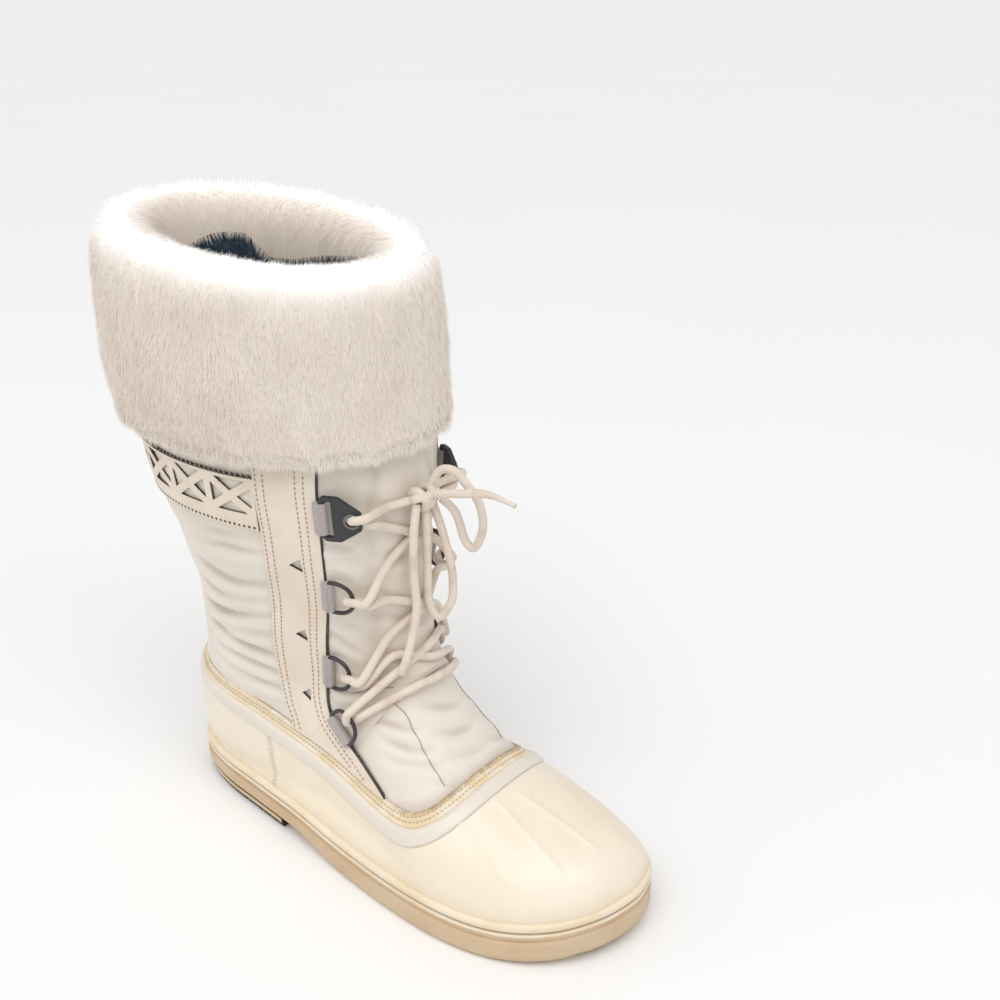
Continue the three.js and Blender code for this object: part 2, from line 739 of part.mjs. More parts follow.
// The cuff in section: outset from the leg's outside, and z a share of the way from the cuff's foot to its rim.
const CUFF = [
  { outset: 0, share: 0.05, lock: 0 },
  { outset: 0.5, share: -0.02, lock: 0.8 },
  { outset: 0.9, share: 0.06, lock: 1 },
  { outset: 1, share: 0.25, lock: 1 },
  { outset: 1.08, share: 0.5, lock: 0.8 },
  { outset: 1, share: 0.76, lock: 0.8 },
  { outset: 0.66, share: 0.93, lock: 0.8 },
  { outset: -0.1, share: 1, lock: 0.7 },
];
const FACING = [
  { outset: 0.6, share: 0.97, lock: 0.6 },
  { outset: 1, share: 0.84, lock: 0.5 },
  { outset: 0.95, share: 0.6, lock: 0.4 },
  { outset: 0.5, share: 0.5, lock: 0 },
  { outset: 0, share: 0.52, lock: 0 },
];
const LOCKS_AROUND = 26;
const POINTS_A_LOCK = 2;
function furCuff() {
  const skin = overlayThickness + clearance + cuffEase;
  const wall = -upperWall - cuffEase * 2;
  const rim = legHeight + cuffRise;
  const roof = (legHeight + cuffEase - cuffBottom) / (rim - cuffBottom);
  const profile = [
    ...CUFF.map(({ outset, share, lock }) => ({ reach: skin + cuffPile * outset, share, lock })),
    ...FACING.map(({ outset, share, lock }) => ({ reach: wall - facingPile * outset, share, lock: -lock })),
    { reach: wall, share: roof, lock: 0 },
    { reach: skin, share: roof, lock: 0 },
  ];
  const count = LOCKS_AROUND * POINTS_A_LOCK;
  const loops = profile.map(({ reach, share }) =>
    evenLoop(legRing(cuffBottom + share * (rim - cuffBottom), reach), count),
  );
  const middle = shinDistance / 2;
  const rows = Array.from({ length: count }, (_, j) =>
    profile.map(({ share, lock }, i) => {
      const p = loops[i][j].clone();
      const before = loops[i][(j + count - 1) % count];
      const after = loops[i][(j + 1) % count];
      const out = new THREE.Vector3(after.y - before.y, before.x - after.x, 0).normalize();
      const tuft = ((i + j) % 2 ? 0.5 : -0.5) + 0.5 * Math.sin(j * 2.4 + i * 1.7);
      p.addScaledVector(out, lock * tuft * lockDepth * 0.45);
      p.z -= Math.abs(lock) * tuft * lockDepth * (i < 3 ? 1 : 0.35);
      p.z += lock ? rimTilt * clamp01(share) * ((middle - p.x) / legDepth) : 0;
      return p;
    }),
  );
  return gridSolid(rows, true);
}

// Points on the front of the form, found with level rays.
const caster = new THREE.Raycaster();
const faceCache = new Map();
function faceOf(outset) {
  if (!faceCache.has(outset)) {
    const mesh = new THREE.Mesh(geometryOf(form(outset)), new THREE.MeshBasicMaterial());
    faceCache.set(outset, mesh);
  }
  return faceCache.get(outset);
}
function frontPoint(y, z, outset) {
  caster.set(new THREE.Vector3(farFront, y, z), new THREE.Vector3(-1, 0, 0));
  return caster.intersectObject(faceOf(outset))[0].point.clone();
}
function sidePoint(x, z, side, outset) {
  caster.set(new THREE.Vector3(x, side * farSide, z), new THREE.Vector3(0, -side, 0));
  return caster.intersectObject(faceOf(outset))[0].point.clone();
}

// A local frame on the throat's edge: reach points forward over the tongue, up along the edge, out from the boot.
function edgeFrame(z, side, outset) {
  const step = 6;
  const at = (dx, dz) => sidePoint(edgeAt("front", z + dz) + dx, z + dz, side, outset);
  const place = at(0, 0);
  const up = at(0, step).sub(at(0, -step)).normalize();
  const reach = at(0, 0).sub(at(-step, 0)).normalize();
  const out = new THREE.Vector3().crossVectors(reach, up).multiplyScalar(side < 0 ? 1 : -1).normalize();
  const level = new THREE.Vector3().crossVectors(up, out).multiplyScalar(side < 0 ? 1 : -1).normalize();
  return { place, up, out, reach: level };
}
function point(frame, reach, up, out) {
  return frame.place
    .clone()
    .addScaledVector(frame.reach, reach)
    .addScaledVector(frame.up, up)
    .addScaledVector(frame.out, out);
}
const tongueStand = tonguePad - upperWall - clearance; // the tongue's middle over the upper's outside
const hardwareLift = tongueStand + clearance * 2 + wireRadius + 1; // the middle of the rings and plates

// A closed wire ring through flat points [reach, up] in a frame, round in section.
function frameWire(frame, corners, lift, radius, sides) {
  const count = corners.length;
  const flat = corners.map(([x, y]) => new THREE.Vector2(x, y));
  const rows = flat.map((p, i) => {
    const before = p.clone().sub(flat[(i + count - 1) % count]).normalize();
    const after = flat[(i + 1) % count].clone().sub(p).normalize();
    const along = before.clone().add(after).normalize();
    const stretch = 1 / Math.max(0.6, along.dot(after));
    return Array.from({ length: sides }, (_, j) => {
      const angle = (2 * Math.PI * (j + 0.5)) / sides;
      const aside = radius * Math.cos(angle) * stretch;
      return point(frame, p.x + along.y * aside, p.y - along.x * aside, lift + radius * Math.sin(angle));
    });
  });
  return gridSolid(rows, true);
}

const arcSteps = 7;
function dRing(z, side) {
  const frame = edgeFrame(z, side, 0);
  const half = ringHeight / 2 - wireRadius;
  const corners = [[barReach, -half], [barReach, half]];
  for (let i = 0; i < arcSteps; i++) {
    const angle = (Math.PI * (0.42 - (0.84 * i) / (arcSteps - 1)));
    corners.push([barReach + (ringReach - barReach) * Math.cos(angle) ** 0.8, half * Math.sin(angle)]);
  }
  return frameWire(frame, corners, hardwareLift, wireRadius, 6);
}

// A webbing tab at the throat's edge, folded round a bar of the given thickness.
function tab(z, side, thickness) {
  const frame = edgeFrame(z, side, 0);
  const lift = hardwareLift;
  const half = thickness / 2 + clearance * 1.6;
  const shape = new THREE.Shape();
  const [foot, head] = [tongueStand + clearance * 2, lift + half + tabWall];
  shape.setFromPoints([
    new THREE.Vector2(clearance, foot), new THREE.Vector2(barReach + half, foot),
    new THREE.Vector2(barReach + half + tabWall, lift), new THREE.Vector2(barReach + half * 0.6, head),
    new THREE.Vector2(clearance, head),
  ]);
  const hole = new THREE.Path();
  hole.absarc(barReach, lift, half, 0, Math.PI * 2, true);
  shape.holes.push(hole);
  const geometry = new THREE.ExtrudeGeometry(shape, { depth: tabLength, bevelEnabled: false, curveSegments: 3 });
  geometry.translate(0, 0, -tabLength / 2);
  return placed(geometry, frame.reach, frame.out, frame.up, frame.place);
}

// A geometry set into a frame of three directions at a place, as a solid.
function placed(geometry, first, second, third, place) {
  const basis = new THREE.Matrix4().makeBasis(first, second, third).setPosition(place);
  geometry.applyMatrix4(basis);
  return solid(basis.determinant() < 0 ? flipped(geometry) : geometry);
}

// The top lace plate: a bar through its tab, a slot, and a nose with the lace hole.
function lacePlate(side) {
  const frame = edgeFrame(plateLevel, side, 0);
  const lift = hardwareLift;
  const half = plateHeight / 2;
  const bar = barReach;
  const nose = bar + plateReach - plateBar;
  const shape = new THREE.Shape(
    [
      [bar - plateBar / 2, -half + 2], [bar + 1, -half], [bar + 8, -half], [nose, -half * 0.38],
      [nose, half * 0.38], [bar + 8, half], [bar + 1, half], [bar - plateBar / 2, half - 2],
    ].map(([x, y]) => new THREE.Vector2(x, y)),
  );
  const slotHalf = tabLength / 2 + 2;
  const slot = [bar + plateBar / 2, bar + plateBar / 2 + 5.2];
  shape.holes.push(
    new THREE.Path([
      new THREE.Vector2(slot[0], -slotHalf), new THREE.Vector2(slot[0], slotHalf),
      new THREE.Vector2(slot[1], slotHalf), new THREE.Vector2(slot[1], -slotHalf),
    ]),
  );
  const hole = new THREE.Path();
  hole.absarc(nose - laceHole - holeMargin, 0, laceHole, 0, Math.PI * 2, true);
  shape.holes.push(hole);
  const geometry = new THREE.ExtrudeGeometry(shape, {
    depth: plateThickness, bevelEnabled: false, curveSegments: 8,
  });
  geometry.translate(0, 0, -plateThickness / 2);
  return placed(geometry, frame.reach, frame.up, frame.out, point(frame, 0, 0, lift));
}
function flipped(geometry) {
  const plain = geometry.index ? geometry.toNonIndexed() : geometry.clone();
  const p = plain.attributes.position;
  for (let i = 0; i < p.count; i += 3) {
    const [x, y, z] = [p.getX(i + 1), p.getY(i + 1), p.getZ(i + 1)];
    p.setXYZ(i + 1, p.getX(i + 2), p.getY(i + 2), p.getZ(i + 2));
    p.setXYZ(i + 2, x, y, z);
  }
  return plain;
}

// How the lace turns in a ring, or on the top plate's hole: in from above and out below.
function laceTurn(side, level) {
  const last = level === ringHeights.length;
  const frame = edgeFrame(last ? plateLevel : ringHeights[level], side, 0);
  const reach = last ? barReach + plateReach - plateBar - laceHole - holeMargin : (barReach + ringReach) / 2 + clearance;
  const rest = hardwareLift + (last ? plateThickness / 2 : wireRadius) + laceRadius;
  const rise = laceRadius / 2;
  const apart = laceRadius + clearance;
  const low = last ? rest + clearance : rest - rise;
  return [
    point(frame, reach + laceRadius * 3, apart, rest + rise),
    point(frame, reach, apart, low),
    point(frame, reach, -apart, low),
    point(frame, reach + laceRadius * 3, -apart, rest + rise),
  ];
}

// The lace's two runs, which cross over the tongue. Each row is one strand: its heights on the side where it starts,
// at the middle and on the far side, as shares of the leg height.
const DOWN_RUN = [
  { near: 0.622, middle: 0.593, far: 0.56 },
  { near: 0.5, middle: 0.463, far: 0.43 },
  { near: 0.392, middle: 0.373, far: 0.353 },
  { near: 0.331, middle: 0.343, far: 0.337 },
];
const UP_RUN = [
  { near: 0.367, middle: 0.393, far: 0.39 },
  { near: 0.435, middle: 0.47, far: 0.495 },
  { near: 0.56, middle: 0.598, far: 0.633 },
];
const strandSpread = 15; // how far from the middle the near and far heights lie
const strandSides = 5;
const strandRest = tongueStand + clearance * 4 + laceRadius;
// The bow over the tongue: the routes are points [x, y, z] from the knot's middle.
const knotSize = new THREE.Vector3(5.5, 8, 6);
const knotCentre = frontPoint(1, legHeight * 0.6583, strandRest + knotSize.x);
const HIGH_LOOP = [
  [0.5, 3, 3.5], [5.4, 6, 12.8], [12.3, 8, 13.9], [17.1, 10, 8.5], [22.8, 13, -1.1], [23.3, 15, -14.5],
  [18.1, 15, -26.4], [13.7, 13, -22.8], [11.1, 10, -8.5], [5, 7, -1.5],
];
const LOW_LOOP = [
  [2, 4, -3.5], [4, 6.5, -14.5], [6.5, 8, -26.5], [8.5, 9, -38.2], [8.9, 9, -46.7], [8.5, 8, -55.5],
  [5, 3, -63], [2.5, -1, -54], [2, -1, -32.8], [1.8, -0.5, -14.5], [1, 0, -3.5],
];
const FREE_END = [[2.5, 1, 2], [10.5, 2, 4], [20.2, 3.5, 6], [34.3, 6, 8.5], [48.5, 8, 6]];
const HANGING_END = [
  [0.5, -5, -1.5], [1.3, -8.5, -12.5], [1.3, -9.5, -24.5], [1.5, -10, -37.5], [2, -9.5, -53.5], [1.5, -13, -68.5],
  [1.5, -17, -77.5], [1, -21, -85.5],
];

// The points of one strand on the front, from a side to the other.
function strand({ near, middle, far }, side) {
  const heights = [near, middle, far].map((share) => share * legHeight);
  return heights.map((z, i) => frontPoint(side * strandSpread * (1 - i), z, strandRest));
}

function laceCrossings() {
  const top = ringHeights.length;
  const [lateral, medial] = [-1, 1];
  const toKnot = (side) => frontPoint(side * strandSpread, knotCentre.z - 1, strandRest);
  const down = [knotCentre, toKnot(lateral), ...laceTurn(lateral, top)];
  DOWN_RUN.forEach((leg, i) => {
    const side = i % 2 ? medial : lateral;
    down.push(...strand(leg, side));
    const level = top - 1 - i;
    down.push(...(level < 0 ? laceTurn(-side, 0).reverse().slice(0, 3) : laceTurn(-side, level)));
  });
  const up = laceTurn(lateral, 0).slice(0, 2).reverse();
  UP_RUN.forEach((leg, i) => {
    const side = i % 2 ? medial : lateral;
    up.push(...strand(leg, side), ...laceTurn(-side, i + 1).reverse());
  });
  up.push(toKnot(medial), knotCentre);
  return roundTube(down, laceRadius, strandSides)
    .add(roundTube(up, laceRadius, strandSides))
    .subtract(knotBody(clearance))
    .subtract(form(tongueStand + clearance));
}

function knotBody(margin) {
  const geometry = new THREE.SphereGeometry(1, 10, 7);
  geometry.scale(knotSize.x + margin, knotSize.y + margin, knotSize.z + margin);
  return solid(geometry.translate(knotCentre.x, knotCentre.y, knotCentre.z));
}

const laceSides = 8;
function freeLace(points, steps) {
  const route = points.map((p) => new THREE.Vector3(...p).add(knotCentre));
  return roundTube(route, laceRadius, laceSides, steps).subtract(knotBody(clearance));
}

const boot = new THREE.Group();
boot.position.set(-heelCentre, 0, 0);

const flatness = 0.1; // facets closer to one plane than this become one
function add(name, made, color, roughness, metalness = 0) {
  const material = new THREE.MeshStandardMaterial({ color, roughness, metalness });
  const mesh = new THREE.Mesh(geometryOf(made.simplify(flatness)), material);
  mesh.name = name;
  boot.add(mesh);
}

add("outsole", outsole(), TAN, 0.7);
add("heel_tread", heelTread(), BLACK, 0.8);
add("foxing_bead", foxingBead(), CREAM, 0.5);
add("shell", shell(), CREAM, 0.35);
add("insole", insole(), FELT, 0.95);
add("upper", upper(), FABRIC, 0.75);
add("tongue", tongue(), FABRIC, 0.75);
add("collar_trim", trim(), LEATHER, 0.6);
add("eyestay_lateral", eyestay(-1), LEATHER, 0.5);
add("eyestay_medial", eyestay(1), LEATHER, 0.5);
add("lattice_band", latticeBand(), LEATHER, 0.5);
add("fur_cuff", furCuff(), FUR, 0.95);
for (const [label, side] of [["lateral", -1], ["medial", 1]]) {
  ringHeights.forEach((z, i) => {
    add(`d_ring_${label}_${i + 1}`, dRing(z, side), BLACK, 0.35, 0.8);
    add(`ring_tab_${label}_${i + 1}`, tab(z, side, wireRadius * 2), WEB, 0.6);
  });
  add(`lace_plate_${label}`, lacePlate(side), BLACK, 0.4, 0.2);
  add(`plate_tab_${label}`, tab(plateLevel, side, plateBar * 1.2), WEB, 0.6);
}

add("lace_crossings", laceCrossings(), CORD, 0.8);
add("lace_knot", knotBody(0), CORD, 0.8);
add("lace_loop_high", freeLace(HIGH_LOOP, 13), CORD, 0.8);
add("lace_loop_low", freeLace(LOW_LOOP, 13), CORD, 0.8);
add("lace_end_free", freeLace(FREE_END, 5), CORD, 0.8);
add("lace_end_hanging", freeLace(HANGING_END, 9), CORD, 0.8);

export default boot;
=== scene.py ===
"""The winter boot as it shows: surfaces, stitching, fur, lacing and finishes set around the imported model.

Lengths in the tables and functions are millimetres from the back of the heel, as the boot's own sizes are.
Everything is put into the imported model's frame, in metres, when it becomes a mesh.
"""
import math

import bpy
import numpy as np
from mathutils import Matrix, Vector
from mathutils.bvhtree import BVHTree
from mathutils.geometry import delaunay_2d_cdt


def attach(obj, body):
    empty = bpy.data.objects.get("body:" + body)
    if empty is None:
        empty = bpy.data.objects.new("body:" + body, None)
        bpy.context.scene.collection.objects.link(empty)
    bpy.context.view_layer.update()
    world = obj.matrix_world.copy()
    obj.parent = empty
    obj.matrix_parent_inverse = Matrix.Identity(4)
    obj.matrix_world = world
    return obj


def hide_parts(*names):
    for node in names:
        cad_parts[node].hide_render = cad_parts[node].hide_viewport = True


bl_info = {
    "name": "Winter Boot",
    "version": (1, 0, 0),
    "blender": (4, 5, 0),
    "location": "View3D > Sidebar > Boot",
    "description": "Dresses the packed model of a right winter boot: surfaces, fur, lacing, finishes",
    "category": "Object",
}

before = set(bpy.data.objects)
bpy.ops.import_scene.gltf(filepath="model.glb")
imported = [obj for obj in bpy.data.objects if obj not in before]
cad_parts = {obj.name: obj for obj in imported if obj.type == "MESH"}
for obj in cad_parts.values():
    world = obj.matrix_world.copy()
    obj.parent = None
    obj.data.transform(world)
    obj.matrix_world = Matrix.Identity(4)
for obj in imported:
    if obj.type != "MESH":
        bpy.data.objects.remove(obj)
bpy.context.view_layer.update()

# The boot's main sizes
SOLE_LENGTH = 285.0
BALL_WIDTH = 104.0
HEEL_CENTRE = 45.0
SOLE_HEEL_TOP = 17.0
SOLE_BALL_TOP = 15.0
TOE_SPRING = 6.0
HEEL_TREAD_LENGTH = 96.0
HEEL_TREAD_HEIGHT = 6.0
ARCH_END = 152.0
FLAT_END = 216.0
LUG_DEPTH = 3.0
LUG_GROOVE = 4.0
BEAD_HEIGHT = 7.0
INSTEP_HEIGHT = 97.0
SHIN_DISTANCE = 156.0
LEG_HEIGHT = 300.0
LEG_DEPTH = 166.0
LEG_WIDTH = 121.0
UPPER_WALL = 3.0
SHELL_WALL = 2.5
TRIM_HEIGHT = 7.0
CLEARANCE = 0.3
OVERLAY = 1.4
VAMP_TOP = 99.0
THROAT_TOP = 238.0
BAND_BOTTOM = 183.9
BAND_HEIGHT = 29.0
LATTICE_CELLS = 11
LATTICE_BAR = 3.4
CUFF_BOTTOM = 213.9
CUFF_RIM = 314.0
CUFF_PILE = 9.0
FACING_PILE = 18.0
RIM_TILT = 14.0
STAY_TOP = 226.0
WIRE_RADIUS = 1.3
RING_HEIGHT = 20.0
RING_REACH = 13.0
TAB_LENGTH = 14.2
BAR_REACH = 2.6
BOW_REACH = RING_REACH + 1.2
PLATE_HEIGHT = 23.0
PLATE_REACH = 21.0
PLATE_THICKNESS = 2.2
PLATE_BAR = 2.4
LACE_HOLE = 3.2
HOLE_MARGIN = 1.6
LACE_RADIUS = 2.2
EYELET = 3.3
PLATE_NOSE = BAR_REACH + PLATE_REACH - PLATE_BAR
PLATE_EYE = PLATE_NOSE - LACE_HOLE - HOLE_MARGIN
HARDWARE_LIFT = 3.2
STRAND_REST = 3.7
RING_LEVELS = (75.0, 107.1, 152.1)
PLATE_LEVEL = 195.0
KNOT = np.array([162.45, 1.0, 197.5])
LACE_SIZE = 0.93 * LACE_RADIUS
RIGHT_ANGLE = math.pi / 2
MILLIMETRE = 0.001


def table(names, *rows):
    """A short table as one array for each named column."""
    columns = zip(*rows)
    return {name: np.array(values, float) for name, values in zip(names.split(), columns)}


# The sole's outline: shares of the ball width in equal steps of half a turn from heel to toe.
OUTLINE = table(
    "lateral medial",
    (0, 0), (-0.168, 0.165), (-0.3, 0.285), (-0.37, 0.335), (-0.404, 0.338), (-0.44, 0.333), (-0.486, 0.366),
    (-0.522, 0.432), (-0.523, 0.475), (-0.464, 0.452), (-0.33, 0.38), (-0.13, 0.25), (0.075, 0.075),
)
# Sections of the base form: from the toe to the instep, from the arch round the heel, and up the leg.
FOOT = table(
    "low_x low_z high_x high_z lateral medial centre",
    (0.969, 0.27, 0.971, 0.32, 0.085, 0.085, 0.08),
    (0.961, 0.2, 0.963, 0.39, 0.215, 0.175, 0.075),
    (0.931, 0.14, 0.931, 0.45, 0.315, 0.255, 0.056),
    (0.877, 0.12, 0.873, 0.51, 0.4, 0.335, 0.03),
    (0.8, 0.11, 0.793, 0.575, 0.454, 0.395, 0.005),
    (0.702, 0.11, 0.708, 0.67, 0.465, 0.405, -0.012),
    (0.604, 0.11, 0.65, 0.81, 0.432, 0.364, -0.01),
    (0.498, 0.12, 0.6, 0.97, 0.395, 0.328, -0.005),
)
HEEL = table(
    "low_x low_z high_x high_z lateral medial belly",
    (0.386, 0.041, 1.062, 0.35, 0.37, 0.325, 0.3),
    (0.267, 0.044, 1.035, 0.377, 0.366, 0.33, 0.32),
    (0.147, 0.05, 1.018, 0.403, 0.375, 0.35, 0.34),
    (0.054, 0.063, 1.008, 0.432, 0.382, 0.365, 0.37),
    (0.026, 0.115, 1.002, 0.465, 0.395, 0.385, 0.4),
    (0.034, 0.2, 0.997, 0.51, 0.418, 0.41, 0.42),
    (0.054, 0.295, 0.993, 0.56, 0.448, 0.44, 0.45),
    (0.062, 0.395, 0.99, 0.612, 0.485, 0.475, 0.48),
)
LEG = table(
    "height front back shin width",
    (0.5, 0.66, -0.058, 0.988, 0.9),
    (0.6, 0.69, 0.016, 0.984, 0.965),
    (0.712, 0.722, 0.064, 0.974, 1),
    (0.82, 0.82, 0.09, 0.952, 1.01),
    (0.92, 0.92, 0.098, 0.942, 1),
    (1.02, 1.02, 0.1, 0.938, 0.99),
    (1.15, 1.15, 0.1, 0.938, 0.99),
)
# Side view of the shell's top edge, and of the eyestays' edges.
COLLAR = table(
    "x z",
    (-0.2, 0.83), (0, 0.79), (0.18, 0.74), (0.38, 0.615), (0.5, 0.535), (0.6, 0.49), (0.66, 0.495),
    (0.705, 0.56), (0.728, 0.66), (0.738, 0.8), (0.742, 1.2),
)
STAY_EDGES = table(
    "z front rear",
    (0.1, 0.665, 0.42), (0.17, 0.615, 0.385), (0.24, 0.485, 0.36), (0.29, 0.442, 0.344), (0.39, 0.441, 0.346),
    (0.5, 0.459, 0.369), (0.64, 0.471, 0.382), (0.82, 0.471, 0.382),
)
STAY_CUTS = (0.3, 0.42, 0.56)
# The cuff in section: outset in piles from the leg's skin, and height as a share from its foot to its rim.
CUFF = table(
    "outset share",
    (0, 0.05), (0.5, -0.02), (0.9, 0.06), (1, 0.25), (1.08, 0.5), (1, 0.76), (0.66, 0.93), (-0.1, 1),
)
FACING = table("outset share", (0.6, 0.97), (1, 0.84), (0.95, 0.6), (0.5, 0.5), (0, 0.52))
TOE_RIDGES = table(
    "from_x from_y to_x to_y",
    (209, -33.5, 244, -38), (217.5, -14.5, 264.5, -21.2), (222, -2.5, 268, 0.5),
)


def blend_between(values, place):
    """A column's value at any place between its rows, on a Catmull-Rom curve."""
    place = np.asarray(place, float)
    i = np.clip(np.floor(place).astype(int), 0, len(values) - 2)
    t = place - i
    a, b, c, d = (values[np.clip(i + k, 0, len(values) - 1)] for k in (-1, 0, 1, 2))
    return b + 0.5 * t * (c - a + t * (2 * a - 5 * b + 4 * c - d + t * (3 * (b - c) + d - a)))


def ease(t):
    """0 up to t = 0, 1 from t = 1, smooth between."""
    t = np.clip(t, 0, 1)
    return t * t * (3 - 2 * t)


def matched(*values):
    """Values as float arrays of one shape."""
    return np.broadcast_arrays(*(np.asarray(value, float) for value in values))


def full_turn(count):
    """Angles at equal steps of a full turn, from 0."""
    return np.linspace(0, 2 * math.pi, count, endpoint=False)


def ring_angles(count):
    """Angles in the middles of the equal parts of a full turn."""
    return (np.arange(count) + 0.5) * 2 * math.pi / count


def run_along(points):
    """The length run along a line at each of its points."""
    return np.concatenate([[0], np.cumsum(np.linalg.norm(np.diff(points, axis=0), axis=1))])


def make_sections():
    """All the base form's sections in one table."""
    feet, heels, legs = (len(t["lateral" if "lateral" in t else "width"]) for t in (FOOT, HEEL, LEG))
    steps = np.arange(feet)
    heel_steps = np.arange(heels)
    half = LEG_WIDTH / 2 * LEG["width"]
    parts = {
        "low_x": (SOLE_LENGTH * FOOT["low_x"], SOLE_LENGTH * HEEL["low_x"], -LEG_DEPTH * LEG["back"]),
        "low_z": (INSTEP_HEIGHT * FOOT["low_z"], LEG_HEIGHT * HEEL["low_z"], LEG_HEIGHT * LEG["height"]),
        "high_x": (SOLE_LENGTH * FOOT["high_x"], SHIN_DISTANCE * HEEL["high_x"], SHIN_DISTANCE * LEG["shin"]),
        "high_z": (INSTEP_HEIGHT * FOOT["high_z"], LEG_HEIGHT * HEEL["high_z"], LEG_HEIGHT * LEG["front"]),
        "lateral": (BALL_WIDTH * FOOT["lateral"], BALL_WIDTH * HEEL["lateral"], half),
        "medial": (BALL_WIDTH * FOOT["medial"], BALL_WIDTH * HEEL["medial"], half),
        "centre": (BALL_WIDTH * FOOT["centre"], np.zeros(heels), np.zeros(legs)),
        "belly": (np.where(steps > 0, 0.36 - 0.01 * steps, 0.5), HEEL["belly"], np.full(legs, 0.49)),
        "low_power": (
            np.minimum(3.4, 2 + 0.7 * steps), np.maximum(2.1, 3.2 - 0.25 * heel_steps), np.full(legs, 2.12),
        ),
    }
    return {name: np.concatenate(values) for name, values in parts.items()}


SECTIONS = make_sections()
LAST_PLACE = len(SECTIONS["low_x"]) - 1
FIRST_LEG = len(FOOT["low_x"]) + len(HEEL["low_x"])
HIGH_POWER = 2.15


def form_points(place, angle):
    """Points of the base form: place counts sections from the toe, angle goes round from the low point."""
    place, angle = matched(place, angle)
    s = {name: blend_between(values, place) for name, values in SECTIONS.items()}
    down, aside = np.cos(angle), np.sin(angle)
    power = 2 / np.where(down > 0, s["low_power"], HIGH_POWER)
    reach = np.where(down > 0, s["belly"], 1 - s["belly"])
    along = s["belly"] - np.sign(down) * reach * np.abs(down) ** power
    width = np.where(aside < 0, s["lateral"], s["medial"])
    across = s["centre"] + np.sign(aside) * width * np.abs(aside) ** power
    x = s["low_x"] + (s["high_x"] - s["low_x"]) * along
    z = s["low_z"] + (s["high_z"] - s["low_z"]) * along
    return np.stack([x, across, z], -1)


def unit(v):
    """Vectors at length 1."""
    return v / np.maximum(np.linalg.norm(v, axis=-1, keepdims=True), 1e-9)


def skin(place, angle, outset=0.0):
    """Points of the form moved out along its normals, and the normals."""
    place, angle = matched(place, angle)
    here = form_points(place, angle)
    along = form_points(place + 0.03, angle) - form_points(place - 0.03, angle)
    across = form_points(place, angle + 0.02) - form_points(place, angle - 0.02)
    normal = unit(np.cross(along, across))
    return here + normal * np.asarray(outset)[..., None], normal


def fine_line(columns, names, steps, scales):
    """A table's columns as one smooth line of points."""
    count = len(columns[names[0]]) - 1
    places = np.linspace(0, count, count * steps + 1)
    return np.stack([scale * blend_between(columns[name], places) for name, scale in zip(names, scales)], -1)


COLLAR_LINE = fine_line(COLLAR, ("x", "z"), 8, (SOLE_LENGTH, INSTEP_HEIGHT))
EDGE_LINES = {
    name: fine_line(STAY_EDGES, (name, "z"), 8, (SOLE_LENGTH, LEG_HEIGHT)) for name in ("front", "rear")
}


def over_line(x, z, line):
    """Signed distance in the side view, positive on the left of the line's way."""
    x, z = np.asarray(x, float)[..., None], np.asarray(z, float)[..., None]
    a, d = line[:-1], np.diff(line, axis=0)
    t = np.clip(((x - a[:, 0]) * d[:, 0] + (z - a[:, 1]) * d[:, 1]) / (d**2).sum(1), 0, 1)
    far = np.hypot(x - a[:, 0] - t * d[:, 0], z - a[:, 1] - t * d[:, 1])
    k = far.argmin(-1)
    turn = d[k, 0] * (z[..., 0] - a[k, 1]) - d[k, 1] * (x[..., 0] - a[k, 0])
    return np.take_along_axis(far, k[..., None], -1)[..., 0] * np.sign(turn)


def edge_x(name, z):
    line = EDGE_LINES[name]
    return np.interp(z, line[:, 1], line[:, 0])


def first_crossing(steps, values):
    """Where each column of values first rises through zero, between the steps down its rows."""
    above = values > 0
    above[0] = False
    k = np.maximum(above.argmax(0), 1)
    j = np.arange(values.shape[1])
    low, high = values[k - 1, j], values[k, j]
    t = np.clip(-low / np.where(np.abs(high - low) < 1e-9, 1, high - low), 0, 1)
    return steps[k - 1] + t * (steps[k] - steps[k - 1])


def collar_place(angles):
    """The place on each column where the form crosses the shell's top edge."""
    steps = np.linspace(2.5, 17, 220)
    points = form_points(steps[:, None], angles[None, :])
    return first_crossing(steps, over_line(points[..., 0], points[..., 2], COLLAR_LINE))


def height_place(angles, z):
    """The place on each column where the form reaches a height."""
    steps = np.linspace(8, LAST_PLACE, 200)
    return first_crossing(steps, form_points(steps[:, None], angles[None, :])[..., 2] - z)


def throat_angle(places, side, shift):
    """The angle at each place where the form crosses the throat's edge, moved ahead by shift."""
    steps = np.linspace(0, math.pi - 0.4, 160)
    points = form_points(places[None, :], math.pi + side * -steps[:, None])
    values = edge_x("front", points[..., 2]) + shift - points[..., 0]
    return math.pi - side * first_crossing(steps, values)


